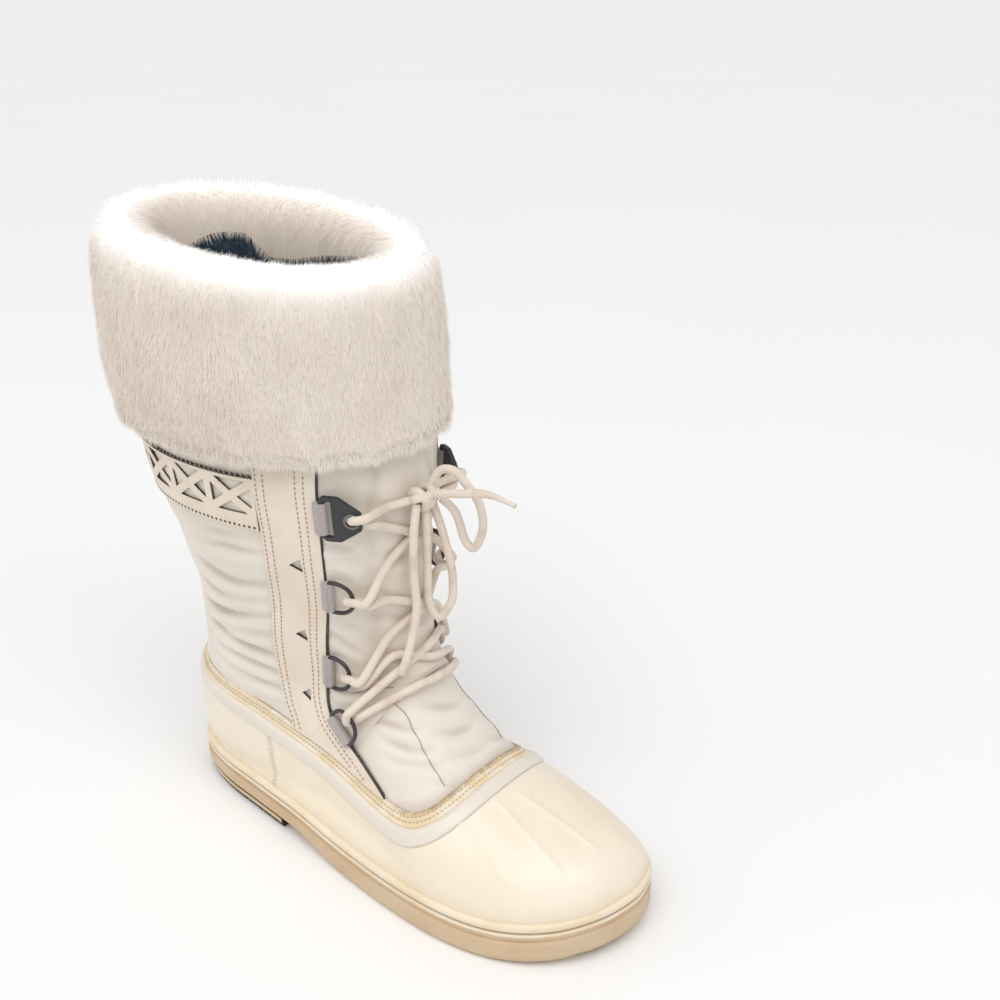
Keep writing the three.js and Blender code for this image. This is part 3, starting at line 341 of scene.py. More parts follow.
class Finder:
    """Finds points and normals of the base form, seen from the side, the front, all round or close by."""

    rows, columns = 520, 400
    far = 200.0
    ahead = 420.0

    def __init__(self):
        places = np.linspace(0, LAST_PLACE, self.rows)
        points, normals = skin(places[:, None], ring_angles(self.columns)[None, :])
        cells = grid_faces(self.rows, self.columns, True)
        self.corners = np.concatenate([cells[:, [0, 1, 2]], cells[:, [0, 2, 3]]])
        self.points = points.reshape(-1, 3)
        self.normals = normals.reshape(-1, 3)
        self.tree = BVHTree.FromPolygons(self.points.tolist(), self.corners.tolist())

    def smooth(self, spots, cells, shape):
        """The form's own normals at spots on its facets."""
        ids = self.corners[cells]
        a, b, c = (self.points[ids[:, k]] for k in range(3))
        whole = np.cross(b - a, c - a)
        size = (whole**2).sum(-1)
        shares = [(np.cross(q - p, spots - p) * whole).sum(-1) / size for p, q in ((b, c), (c, a), (a, b))]
        normals = sum(self.normals[ids[:, k]] * shares[k][:, None] for k in range(3))
        return spots.reshape(*shape, 3), unit(normals).reshape(*shape, 3)

    def look(self, origins, ways):
        """Points and normals where each ray first meets the form."""
        shape = origins.shape[:-1]
        spots, cells = [], []
        for origin, way in zip(origins.reshape(-1, 3).tolist(), ways.reshape(-1, 3).tolist()):
            spot, _, cell, _ = self.tree.ray_cast(origin, way)
            if spot is None:
                spot, _, cell, _ = self.tree.find_nearest(origin)
            spots.append(spot)
            cells.append(cell)
        return self.smooth(np.array(spots), np.array(cells), shape)

    def near(self, points):
        """The form's points nearest to the given ones, with normals."""
        found = [self.tree.find_nearest(p) for p in points.reshape(-1, 3).tolist()]
        spots, cells = (np.array([hit[k] for hit in found]) for k in (0, 2))
        return self.smooth(spots, cells, points.shape[:-1])

    def side(self, x, z, side):
        x, z = matched(x, z)
        origins = np.stack([x, np.full(x.shape, side * self.far), z], -1)
        return self.look(origins, np.broadcast_to([0.0, -side, 0.0], origins.shape))

    def front(self, y, z):
        y, z = matched(y, z)
        origins = np.stack([np.full(y.shape, self.ahead), y, z], -1)
        return self.look(origins, np.broadcast_to([-1.0, 0.0, 0.0], origins.shape))

    def round(self, turn, z, middle=70.0):
        """Looks level at the leg from all round: turn 0 is the toe's side, and it grows anticlockwise."""
        turn, z = matched(turn, z)
        out = np.stack([np.cos(turn), np.sin(turn), np.zeros(turn.shape)], -1)
        base = np.stack([np.full(turn.shape, middle), np.zeros(turn.shape), z], -1)
        return self.look(base + out * self.far, -out)


def grid_faces(rows, columns, round_columns=False, round_rows=False):
    """Quads over a grid of points, counted row by row."""
    last_row = rows if round_rows else rows - 1
    last_column = columns if round_columns else columns - 1
    i, j = np.meshgrid(np.arange(last_row), np.arange(last_column), indexing="ij")
    i, j = i.ravel(), j.ravel()
    down, right = (i + 1) % rows, (j + 1) % columns
    return np.stack([i * columns + j, down * columns + j, down * columns + right, i * columns + right], -1)


FIND = Finder()


# The fabric's folds: each a line of points [x, y, z] on the shaft, with the trough's half width and depth.
SIDE_FOLDS = (
    (3.4, 1.5, (58, -48, 163), (80, -54, 168), (107, -50, 170)),
    (2.8, 1.2, (64, -50, 173), (88, -55, 177), (108, -50, 178)),
    (4.0, 2.0, (50, -45, 150), (78, -50, 147), (103, -47, 151)),
    (3.6, 1.9, (47, -42, 137), (66, -47, 136), (100, -46, 141)),
    (3.8, 2.2, (44, -40, 124), (64, -46, 124), (98, -45, 131)),
    (3.2, 1.5, (56, -44, 113), (78, -45, 117), (97, -43, 119)),
    (3.6, 2.3, (48, -41, 112), (72, -44, 108), (96, -42, 106)),
    (3.4, 2.2, (46, -40, 103), (68, -43, 99), (95, -41, 96)),
    (3.0, 1.7, (55, -41, 94), (78, -41, 87), (98, -40, 86)),
    (3.0, 1.3, (40, -37, 96), (58, -40, 90), (74, -40, 82)),
)
BACK_FOLDS = (
    (4.2, 1.6, (16, -12, 118), (14, 4, 116), (18, 16, 120)),
    (4.4, 1.8, (12, -20, 104), (9, 0, 101), (12, 18, 105)),
    (4.6, 1.7, (22, -24, 134), (19, 0, 131), (22, 22, 135)),
    (4.6, 1.4, (14, -26, 152), (10, 0, 150), (14, 24, 153)),
)
VAMP_FOLDS = (
    (2.2, 1.2, (154, -29, 86), (164, -25, 85), (174, -18, 83)),
    (2.2, 1.3, (160, -32, 79), (172, -27, 77), (182, -19, 76)),
    (2.4, 1.4, (166, -34, 71), (176, -29, 71), (188, -21, 71)),
    (2.0, 0.9, (182, -32, 63), (190, -26, 65), (197, -20, 64)),
    (2.4, 1.4, (178, -14, 82), (184, -4, 79), (186, 8, 78)),
    (2.2, 1.2, (188, -15, 73), (193, -5, 71), (195, 8, 70)),
    (2.4, 1.2, (168, -12, 92), (175, -2, 89), (178, 10, 86)),
    (2.2, 1.0, (184, 14, 78), (183, 22, 74), (180, 30, 68)),
    (2.4, 1.1, (172, 18, 86), (170, 26, 80), (166, 33, 74)),
    (2.4, 1.1, (190, 10, 70), (191, 20, 66), (189, 28, 61)),
)
TONGUE_FOLDS = (
    (3.0, 1.6, (133, -36, 180), (142, -30, 176), (145, -25, 167)),
    (2.6, 1.2, (136, -34, 172), (143, -28, 168), (146, -24, 160)),
    (3.4, 1.5, (134, -32, 136), (141, -27, 131), (144, -24, 123)),
    (2.6, 1.3, (128, -31, 128), (134, -30, 122), (141, -26, 117)),
    (3.0, 1.4, (130, -31, 99), (138, -28, 98), (149, -23, 101)),
    (3.0, 1.2, (150, -17, 138), (153, -6, 133), (153, 6, 131)),
    (3.0, 1.2, (150, -16, 118), (154, -4, 115), (154, 10, 117)),
    (3.4, 1.2, (150, -17, 172), (153, -6, 168), (153, 8, 169)),
    (2.8, 1.0, (152, -16, 108), (157, -5, 106), (157, 8, 108)),
)
SEAMS = {
    "tongue_lateral": (
        (149.8, -16.4, 236), (149.8, -16.6, 213), (149.2, -20.5, 196), (149, -21.6, 184), (149.3, -20.4, 168),
        (148, -20.8, 152), (148.6, -18.8, 132), (148, -21, 114), (149.5, -23.2, 101.5),
    ),
    "tongue_medial": (
        (149.8, 17, 236), (149.8, 17.5, 213), (149, 20, 195), (148.8, 21.5, 178), (148, 21, 160),
        (148, 20, 140), (148, 21, 120), (149.5, 22.5, 102),
    ),
    "vamp_top": (
        (126, -32, 93), (138.8, -28.3, 97), (149, -23.8, 101), (157, -12, 102.5), (159, 0, 103),
        (157, 12, 102.5), (149, 23.8, 101), (138.8, 28, 97), (126, 32, 93),
    ),
    "vamp_lateral": (
        (153, -22.5, 98), (159.2, -21.6, 94), (168, -20.5, 90), (180, -22.3, 79), (189.3, -24.6, 68.8),
        (196, -25.3, 64),
    ),
    "vamp_medial": (
        (153, 22.5, 98), (160, 22, 94), (169, 21, 88), (180, 22, 78), (189, 23.5, 68), (195, 24, 63),
    ),
}


FOLD_LOOK = 3
SWELL_BELOW = 1.5
SWELL_WIDTH = 1.3
SWELL_SHARE = 0.62


def fold_relief(points, folds, mirrored=False):
    """How far each point sinks into the folds near it, in millimetres."""
    flat = points.reshape(-1, 3)
    sunk = np.zeros(len(flat))
    for width, depth, *line in folds:
        line = np.array(line, float)
        if mirrored:
            line = line * [1, -1, 1] + [1.5, 0, -2]
        places = np.linspace(0, len(line) - 1, 18)
        fine = np.stack([blend_between(line[:, k], places) for k in range(3)], -1)
        fade = np.sin(np.linspace(0.35, math.pi - 0.5, len(fine)))
        around = FOLD_LOOK * width
        near = ((flat > fine.min(0) - around) & (flat < fine.max(0) + around)).all(1)
        if not near.any():
            continue
        gap = flat[near][:, None, :] - fine[None]
        # A fold is tighter across than along, and a soft swell stands below it.
        square = gap[..., 0] ** 2 * 0.5 + gap[..., 1] ** 2 * 0.5 + gap[..., 2] ** 2
        trough = (np.exp(-square / width**2) * fade).max(1)
        low = square + 2 * SWELL_BELOW * width * gap[..., 2] + (SWELL_BELOW * width) ** 2
        swell = (np.exp(-np.maximum(low, 0) / (SWELL_WIDTH * width) ** 2) * fade).max(1)
        sunk[near] += depth * (SWELL_SHARE * swell - trough)
    return sunk.reshape(points.shape[:-1])


def both_sides(points, folds):
    """The folds of one side, and those of the other side a little weaker."""
    return fold_relief(points, folds) + 0.8 * fold_relief(points, folds, mirrored=True)


def fabric_relief(points):
    """The padded fabric's folds and its soft unevenness."""
    total = both_sides(points, SIDE_FOLDS)
    total += fold_relief(points, BACK_FOLDS) + fold_relief(points, VAMP_FOLDS)
    x, y, z = np.moveaxis(points, -1, 0)
    total += 0.35 * np.sin(x / 9 + 2 * np.sin(z / 14)) * np.sin(z / 8 + y / 11)
    return total


def to_frame(points):
    """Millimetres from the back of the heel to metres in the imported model's frame."""
    points = np.array(points, float)
    points[..., 0] -= HEEL_CENTRE
    return points * MILLIMETRE


def new_piece(name, points, faces, materials, replaces=(), slot=None, sharp=None, values=None, indexes=None):
    """A mesh piece on the boot: its faces, its finishes and what it stands for."""
    mesh = bpy.data.meshes.new(name)
    flat = to_frame(np.asarray(points).reshape(-1, 3))
    mesh.from_pydata(flat, [], faces.tolist() if isinstance(faces, np.ndarray) else faces)
    mesh.update()
    for material in materials if isinstance(materials, (list, tuple)) else [materials]:
        mesh.materials.append(material)
    if indexes is not None:
        mesh.polygons.foreach_set("material_index", np.asarray(indexes, np.int32))
    mesh.shade_smooth()
    if sharp:
        mesh.set_sharp_from_angle(angle=math.radians(sharp))
    for key, value in (values or {}).items():
        layer = mesh.attributes.new(key, "FLOAT", "POINT")
        layer.data.foreach_set("value", np.asarray(value, np.float32).ravel())
    piece = put_in_scene(name, mesh)
    if replaces:
        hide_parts(*replaces)
    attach(piece, "root")
    return piece


def joined(parts):
    """Points and faces of several meshes as one."""
    points, faces, start = [], [], 0
    for some, quads in parts:
        some = np.asarray(some).reshape(-1, 3)
        points.append(some)
        faces.extend((np.asarray(q) + start).tolist() for q in quads)
        start += len(some)
    return np.concatenate(points), faces


def resample(points, step=None, count=None, closed=False, between=12):
    """Points at equal steps along a line, on a Catmull-Rom curve through its own points."""
    points = np.asarray(points, float)
    spans = len(points) if closed else len(points) - 1
    places = np.linspace(0, spans, spans * between + 1)
    if closed:
        points = np.concatenate([points[-1:], points, points[:2]])
        places = places + 1
    fine = np.stack([blend_between(points[:, k], places) for k in range(3)], -1)
    run = run_along(fine)
    if count is None:
        count = max(2, int(round(run[-1] / step)) + 1)
    at = np.linspace(0, run[-1], count + 1 if closed else count)
    if closed:
        at = at[:-1]
    return np.stack([np.interp(at, run, fine[:, k]) for k in range(3)], -1)


def tube(line, radius, sides, closed=False, relief=None):
    """A round tube along a line: points and faces. relief(along, turn) scales the radius."""
    line = np.asarray(line, float)
    ahead = unit(np.roll(line, -1, 0) - np.roll(line, 1, 0) if closed else np.gradient(line, axis=0))
    normal = np.zeros_like(line)
    start = np.array([0.0, 0.0, 1.0]) if abs(ahead[0][2]) < 0.9 else np.array([1.0, 0.0, 0.0])
    normal[0] = unit(start - ahead[0] * (start @ ahead[0]))
    for i in range(1, len(line)):
        normal[i] = unit(normal[i - 1] - ahead[i] * (normal[i - 1] @ ahead[i]))
    aside = np.cross(ahead, normal)
    turn = full_turn(sides)
    size = np.broadcast_to(np.asarray(radius, float), (len(line),))[:, None] * np.ones(sides)
    if relief is not None:
        size = size * relief(run_along(line)[:, None], turn[None, :])
    rim = np.cos(turn)[None, :, None] * normal[:, None] + np.sin(turn)[None, :, None] * aside[:, None]
    points = (line[:, None] + size[..., None] * rim).reshape(-1, 3)
    faces = grid_faces(len(line), sides, True, closed)[:, ::-1].tolist()
    if not closed:
        first, last, low = len(points), len(points) + 1, len(points) - sides
        for j in range(sides):
            k = (j + 1) % sides
            faces += [[first, k, j], [last, low + j, low + k]]
        points = np.concatenate([points, line[[0, -1]]])
    return points, faces


def inside(points, loop):
    """Which flat points lie in a closed loop."""
    x, y = points[:, 0][:, None], points[:, 1][:, None]
    a, b = loop, np.roll(loop, -1, 0)
    crosses = (a[:, 1] > y) != (b[:, 1] > y)
    rise = np.where(np.abs(b[:, 1] - a[:, 1]) < 1e-12, 1e-12, b[:, 1] - a[:, 1])
    meets = x < a[:, 0] + (y - a[:, 1]) * (b[:, 0] - a[:, 0]) / rise
    return (crosses & meets).sum(1) % 2 == 1


def even_loop(loop, spacing):
    """A flat loop with no side longer than spacing."""
    loop = np.asarray(loop, float)
    points = []
    for a, b in zip(loop, np.roll(loop, -1, 0)):
        count = max(1, int(math.ceil(np.linalg.norm(b - a) / spacing)))
        points.extend(a + (b - a) * k / count for k in range(count))
    return np.array(points)


def flat_sheet(outline, holes, spacing):
    """A flat outline with holes as triangles with points all over it."""
    loops = [even_loop(outline, spacing)] + [even_loop(hole, spacing) for hole in holes]
    low, high = loops[0].min(0), loops[0].max(0)
    u, v = np.meshgrid(np.arange(low[0], high[0], spacing), np.arange(low[1], high[1], spacing))
    u = u + (np.arange(u.shape[0])[:, None] % 2) * spacing / 2
    fill = np.stack([u.ravel(), v.ravel()], -1)
    edge = np.concatenate(loops)
    fill = fill[inside(fill, loops[0])]
    for hole in loops[1:]:
        fill = fill[~inside(fill, hole)]
    apart = np.array([np.min(np.sum((edge - p) ** 2, axis=1)) for p in fill]) if len(fill) else np.zeros(0)
    fill = fill[apart > (0.45 * spacing) ** 2]
    edges, start = [], 0
    for loop in loops:
        edges += [(start + k, start + (k + 1) % len(loop)) for k in range(len(loop))]
        start += len(loop)
    points = np.concatenate([edge, fill])
    made = delaunay_2d_cdt([Vector(p) for p in points], edges, [], 0, 1e-6)
    flat = np.array([tuple(p) for p in made[0]])
    faces = np.array(made[2])
    middle = flat[faces].mean(1)
    keep = inside(middle, loops[0])
    for hole in loops[1:]:
        keep &= ~inside(middle, hole)
    return flat, faces[keep]


def thick_sheet(base, out, faces, low, high, edge=0.35):
    """A sheet over base points, thickened along out from lift low to lift high, with soft edges."""
    count = len(base)
    sides = {(p, q) for a, b, c in faces.tolist() for p, q in ((a, b), (b, c), (c, a))}
    rim = [(p, q) for p, q in sides if (q, p) not in sides]
    on_rim = np.zeros(count, bool)
    on_rim[[p for p, _ in rim]] = True
    top = base + out * high
    # The top's rim points move in a little, so that the edge is rounded.
    pull, times = np.zeros_like(top), np.zeros(count)
    for k in range(3):
        for other in (1, 2):
            p, q = faces[:, k], faces[:, (k + other) % 3]
            np.add.at(pull, p, unit(top[q] - top[p]))
            np.add.at(times, p, 1)
    top = top + np.where(on_rim[:, None], 1.2 * edge * pull / np.maximum(times, 1)[:, None], 0)
    quads = faces.tolist() + (2 * count + faces[:, ::-1]).tolist()
    # The lower part of each side wall is marked for a piece's second finish; on the lattice band and the
    # stays that finish is dark and paints shade on the walls of the cut holes.
    marks = [0] * len(quads)
    for p, q in rim:
        quads.append([q, p, count + p, count + q])
        quads.append([count + q, count + p, 2 * count + p, 2 * count + q])
        marks += [0, 1]
    return np.concatenate([top, base + out * (high - edge), base + out * low]), quads, marks


# A stitch's rings: share of its length, share of its radius and rise in radii.
STITCH_FORM = ((0, 0.35, -0.5), (0.22, 0.95, 0.25), (0.78, 0.95, 0.25), (1, 0.35, -0.5))


def at_run(place, run, columns):
    """A point or normal at one place of a line's run."""
    return np.array([np.interp(place, run, columns[:, k]) for k in range(3)])


def stitches(lines, pitch, length, radius):
    """Rows of short stitches along lines of (points, normals)."""
    parts, sides = [], 6
    turn = full_turn(sides)
    for points, normals in lines:
        run = run_along(points)
        count = int(run[-1] / pitch)
        for k in range(count):
            middle = (k + 0.5) * run[-1] / count
            first, last = (at_run(middle + way * length / 2, run, points) for way in (-1, 1))
            out = unit(at_run(middle, run, normals))
            aside = np.cross(out, unit(last - first))
            rim = np.cos(turn)[:, None] * out + np.sin(turn)[:, None] * aside
            rows = []
            for share, size, rise in STITCH_FORM:
                rows.append(first + (last - first) * share + out * radius * rise + radius * size * rim)
            parts.append((np.concatenate(rows), grid_faces(len(rows), sides, True)))
    return joined(parts)


class Wire:
    """A socket in a finish's nodes. Arithmetic on it adds Math nodes."""

    def __init__(self, finish, socket):
        self.finish = finish
        self.socket = socket

    def maths(self, operation, *values):
        return self.finish.node("Math", dict(operation=operation), dict(enumerate(values)))

    def __add__(self, other):
        return self.maths("ADD", self, other)

    def __radd__(self, other):
        return self.maths("ADD", other, self)

    def __sub__(self, other):
        return self.maths("SUBTRACT", self, other)

    def __rsub__(self, other):
        return self.maths("SUBTRACT", other, self)

    def __mul__(self, other):
        return self.maths("MULTIPLY", self, other)

    def __rmul__(self, other):
        return self.maths("MULTIPLY", other, self)

    def smooth(self, low, high):
        """0 below low, 1 above high, eased between."""
        sockets = {0: self, 1: low, 2: high, 3: 0.0, 4: 1.0}
        return self.finish.node("MapRange", dict(interpolation_type="SMOOTHSTEP"), sockets)


class Finish:
    """A material being made, with its Principled shader."""

    def __init__(self, name, **constants):
        self.material = bpy.data.materials.new(name)
        self.material.use_nodes = True
        self.tree = self.material.node_tree
        self.tree.nodes.clear()
        self.shader = self.tree.nodes.new("ShaderNodeBsdfPrincipled")
        output = self.tree.nodes.new("ShaderNodeOutputMaterial")
        self.tree.links.new(self.shader.outputs[0], output.inputs[0])
        self.done(**constants)

    def put(self, socket, value):
        """A link, a colour or a number into one socket."""
        if isinstance(value, Wire):
            self.tree.links.new(value.socket, socket)
        else:
            socket.default_value = (*value, 1) if socket.type == "RGBA" else value

    def node(self, kind, settings, sockets, out=0):
        """One node from its type, its settings and the values or links of its sockets."""
        made = self.tree.nodes.new("ShaderNode" + kind)
        for key, value in settings.items():
            setattr(made, key, value)
        for key, value in sockets.items():
            self.put(made.inputs[key], value)
        return Wire(self, made.outputs[out])

    def place(self):
        return self.node("TexCoord", {}, {}, out="Object")

    def noise(self, size, detail=3.0, roughness=0.55, stretch=None):
        """Noise with lumps of about size millimetres, drawn out where it is stretched."""
        place = self.place()
        if stretch:
            place = self.node("VectorMath", dict(operation="MULTIPLY"), {0: place, 1: stretch})
        sockets = {"Vector": place, "Scale": 1000 / size, "Detail": detail, "Roughness": roughness}
        return self.node("TexNoise", {}, sockets)

    def ribs(self, distortion):
        """Fine level ribs, as of a weave."""
        sockets = {"Vector": self.place(), "Scale": 420.0, "Distortion": distortion}
        return self.node("TexWave", dict(bands_direction="Z"), sockets)

    def value(self, name):
        """A value painted on the piece's points."""
        return self.node("Attribute", dict(attribute_name=name), {}, out="Fac")

    def mix(self, a, b, share):
        return self.node("Mix", dict(data_type="RGBA"), {0: share, 6: a, 7: b}, out=2)

    def patches(self, color, other, noise, low, high, amount=None):
        """Patches of another colour; noise gives their size, detail and roughness."""
        share = self.noise(*noise).smooth(low, high)
        return self.mix(color, other, share * amount if amount else share)

    def shade(self, color, amount):
        """Multiplies a colour by a grey value."""
        grey = self.node("CombineColor", {}, {0: amount, 1: amount, 2: amount})
        settings = dict(data_type="RGBA", blend_type="MULTIPLY")
        return self.node("Mix", settings, {0: 1.0, 6: color, 7: grey}, out=2)

    def bump(self, height, distance, strength, under=None):
        sockets = {"Height": height, "Distance": distance * MILLIMETRE, "Strength": strength}
        if under:
            sockets["Normal"] = under
        return self.node("Bump", {}, sockets)

    def done(self, **inputs):
        """Sets the shader's inputs and gives the material."""
        for key, value in inputs.items():
            self.put(self.shader.inputs[key.replace("_", " ").title().replace("Ior", "IOR")], value)
        return self.material


def tint(red, green, blue):
    """A colour as the shader wants it, from the usual 0 to 255 screen values."""
    def linear(v):
        v /= 255
        return v / 12.92 if v <= 0.04045 else ((v + 0.055) / 1.055) ** 2.4

    return linear(red), linear(green), linear(blue)


def colour_property(name, description, default):
    return bpy.props.FloatVectorProperty(
        name=name, description=description, subtype="COLOR", size=3, min=0, max=1, default=default
    )


def length_property(name, description, default):
    return bpy.props.FloatProperty(
        name=name, description=description, default=default * MILLIMETRE, unit="LENGTH", min=0
    )


class BootSizes(bpy.types.PropertyGroup):
    """Sizes of the boot's trimmings."""

    ring_wire: length_property("Ring wire", "Diameter of the rings' wire", 2.1)
    fur_length: length_property("Fur length", "Length of the cuff's hairs", 8.2)
    fur_width: length_property("Hair width", "Width of a hair at its root", 0.27)
    lace_thickness: length_property("Lace thickness", "Diameter of the round lace", 2 * LACE_SIZE)
    stitch_pitch: length_property("Stitch pitch", "Distance from one stitch to the next", 2.5)
    lip_step: length_property("Lip step", "How far the shell's lip stands out", 1.3)
    hairs: bpy.props.IntProperty(
        name="Hairs", description="Hairs in each of the cuff's meshes", default=36000, min=1000
    )
    fold_depth: bpy.props.FloatProperty(
        name="Fold depth", description="How deep the fabric's folds are drawn", default=1.45, min=0
    )


class BootColours(bpy.types.PropertyGroup):
    """Colours of the boot's materials."""

    nylon: colour_property("Nylon", "Shaft and tongue fabric", tint(230, 222, 211))
    leather: colour_property("Leather", "Eyestays and lattice band", tint(233, 221, 206))
    rubber: colour_property("Shell", "Moulded rubber shell", tint(241, 230, 212))
    lip: colour_property("Lip", "The shell's top edge", tint(228, 219, 206))
    wall: colour_property("Sole wall", "Tan rubber of the outsole", tint(212, 190, 160))
    bead: colour_property("Bead", "Cream bead round the foot", tint(237, 223, 200))
    tread: colour_property("Tread", "Black rubber of the heel", tint(38, 37, 40))
    tape: colour_property("Tape", "Stitched tape over the joint", tint(238, 226, 205))
    fur: colour_property("Fur", "Hairs of the cuff", tint(246, 238, 229))
    fleece: colour_property("Fleece", "Dark lining of the shaft", tint(54, 72, 88))
    felt: colour_property("Felt", "Insole", tint(70, 76, 82))
    metal: colour_property("Rings", "Painted wire of the D-rings", tint(58, 50, 50))
    plastic: colour_property("Plates", "Moulded top lace plates", tint(48, 48, 52))
    webbing: colour_property("Webbing", "Tabs of the rings", tint(176, 167, 166))
    cord: colour_property("Lace", "Round braided lace", tint(228, 215, 202))
    thread: colour_property("Thread", "Stitching of the leather", tint(180, 152, 134))
    dirt: colour_property("Dirt", "Old dirt along the tape", tint(128, 96, 52))


def sizes():
    return bpy.context.scene.boot_sizes


def colour(name, *shares):
    """One of the boot's colours, darker or lighter by one share, or by one each of red, green and blue."""
    shares = shares * 3 if len(shares) == 1 else shares or (1, 1, 1)
    return tuple(min(1, c * k) for c, k in zip(getattr(bpy.context.scene.boot_colours, name), shares))


def nylon_finish():
    """Close woven nylon with a faint sheen, painted shade in the folds, and yellowed at the hem."""
    f = Finish("nylon", sheen_weight=0.2, sheen_roughness=0.4, specular_ior_level=0.35)
    color = f.patches(colour("nylon"), colour("nylon", 0.95, 0.92, 0.88), (55, 2), 0.35, 0.7)
    # Painted shade in the folds, from the fold depth painted on the points.
    color = f.mix(color, colour("nylon", 0.66, 0.61, 0.56), f.value("fold").smooth(0.2, 2.6) * 0.8)
    hem = (f.value("hem") + f.noise(9, 4) * 0.5 - 0.25).smooth(0.25, 1.0)
    color = f.mix(color, colour("dirt"), hem * 0.3)
    relief = f.bump(f.noise(7, 3), 0.5, 0.3, f.bump(f.ribs(0.6), 0.05, 0.35))
    return f.done(base_color=color, roughness=0.46 + f.noise(30) * 0.15, normal=relief)


def leather_finish():
    """Coated leather with a fine grain and small smudges."""
    f = Finish("leather", specular_ior_level=0.5, coat_weight=0.08, coat_roughness=0.35)
    color = f.patches(colour("leather"), colour("leather", 0.92, 0.87, 0.8), (34, 3), 0.3, 0.75)
    color = f.patches(color, colour("leather", 0.7, 0.62, 0.54), (7, 5), 0.56, 0.8, 0.35)
    grain = f.node("TexVoronoi", dict(feature="SMOOTH_F1"), {"Vector": f.place(), "Scale": 900.0})
    relief = f.bump(f.noise(6, 3), 0.35, 0.3, f.bump(grain, 0.12, 0.35))
    return f.done(base_color=color, roughness=0.42 + f.noise(16) * 0.2, normal=relief)


def rubber_finish():
    """Moulded rubber, satin, with grey scuffs, faint yellowing low down and a greyer lip."""
    f = Finish("shell_rubber", specular_ior_level=0.5, coat_weight=0.25, coat_roughness=0.28)
    color = f.patches(colour("rubber"), colour("rubber", 0.96, 0.88, 0.74), (60, 3), 0.35, 0.75, 0.45)
    color = f.mix(color, colour("lip"), f.value("lip"))
    low = f.value("low").smooth(0.0, 1.0) * (0.1 + 0.5 * f.noise(14, 4))
    color = f.mix(color, colour("rubber", 0.84, 0.76, 0.64), low)
    scuff = f.noise(5, 5, 0.7, stretch=(0.35, 1.0, 1.6)).smooth(0.62, 0.78)
    color = f.mix(color, colour("rubber", 0.62, 0.56, 0.5), scuff * 0.35)
    # Painted shade in the crease under the lip; the mould seam is coloured darker too.
    color = f.mix(color, tint(120, 110, 104), f.value("groove") * 0.75)
    relief = f.bump(f.noise(26, 2), 0.6, 0.25, f.bump(f.noise(2.2, 3), 0.1, 0.25))
    return f.done(base_color=color, roughness=0.36 + scuff * 0.25 + f.noise(20) * 0.14, normal=relief)


def wall_finish():
    """Tan rubber, browner in patches, with dust in its pores."""
    f = Finish("tan_rubber", specular_ior_level=0.4)
    color = f.patches(colour("wall"), colour("wall", 0.88, 0.8, 0.7), (40, 3), 0.35, 0.75, 0.8)
    color = f.patches(color, colour("wall", 0.78, 0.68, 0.56), (6, 5, 0.7), 0.6, 0.85, 0.5)
    relief = f.bump(f.noise(1.4, 4), 0.1, 0.4)
    return f.done(base_color=color, roughness=0.62 + f.noise(8) * 0.2, normal=relief)


def bead_finish():
    """Cream rubber, coloured darker in the groove under the bead."""
    f = Finish("bead_rubber", specular_ior_level=0.5, coat_weight=0.15, coat_roughness=0.3)
    color = f.patches(colour("bead"), colour("bead", 0.94, 0.88, 0.76), (24, 4), 0.35, 0.75)
    color = f.mix(color, tint(140, 118, 92), f.value("groove") * 0.6)
    return f.done(base_color=color, roughness=0.42 + f.noise(9) * 0.2, normal=f.bump(f.noise(2, 3), 0.1, 0.3))


def tread_finish():
    """Black rubber with pale dust."""
    f = Finish("black_rubber", specular_ior_level=0.4)
    dust = f.noise(6, 4).smooth(0.5, 0.8) * 0.4
    color = f.mix(colour("tread"), tint(104, 96, 88), dust)
    return f.done(base_color=color, roughness=0.65 + dust * 0.3, normal=f.bump(f.noise(1.2, 3), 0.15, 0.4))


def tape_finish():
    """Pinked tape, yellowed, with old dirt at its upper edge that is worst over the vamp."""
    f = Finish("tape", specular_ior_level=0.3, roughness=0.75)
    color = f.patches(colour("tape"), colour("tape", 0.92, 0.82, 0.64), (12, 4), 0.35, 0.7)
    soil = (f.value("dirt") + f.noise(3.2, 5, 0.7) * 1.1 - 0.55).smooth(0.18, 0.9)
    color = f.mix(color, colour("dirt"), soil * 0.7)
    return f.done(base_color=color, normal=f.bump(f.noise(1.1, 3), 0.2, 0.6))


def fur_colour(f, share):
    """The fur's colour: warm below the rim, with faint darker patches and painted shade towards the roots,
    and a painted highlight, white and a little blue, at the rim.
    """
    color = f.patches(colour("fur"), colour("fur", 0.86, 0.81, 0.76), (70, 2), 0.35, 0.75, 0.6)
    # Painted shade where share is low, as at the hairs' roots.
    color = f.mix(colour("fur", 0.9, 0.86, 0.82), color, share)
    # Painted highlight along the rim, white with a little blue.
    return f.mix(color, (0.97, 0.985, 1.0), f.value("rim") * 0.9)


def fur_glow(f, color):
    """Painted glow: emission that stands in for the light running on inside the pile, brightest at the rim.
    """
    return f.shade(color, 0.16 + f.value("rim") * 0.26)


def fur_finish():
    """The hairs: painted shade at the root, bright at the tip, with the painted glow."""
    f = Finish("fur", specular_ior_level=0.1, emission_strength=1.0, roughness=0.85)
    color = f.shade(fur_colour(f, f.value("tip").smooth(0.0, 0.8)), 0.84 + f.value("tone") * 0.12)
    return f.done(base_color=color, emission_color=fur_glow(f, color))


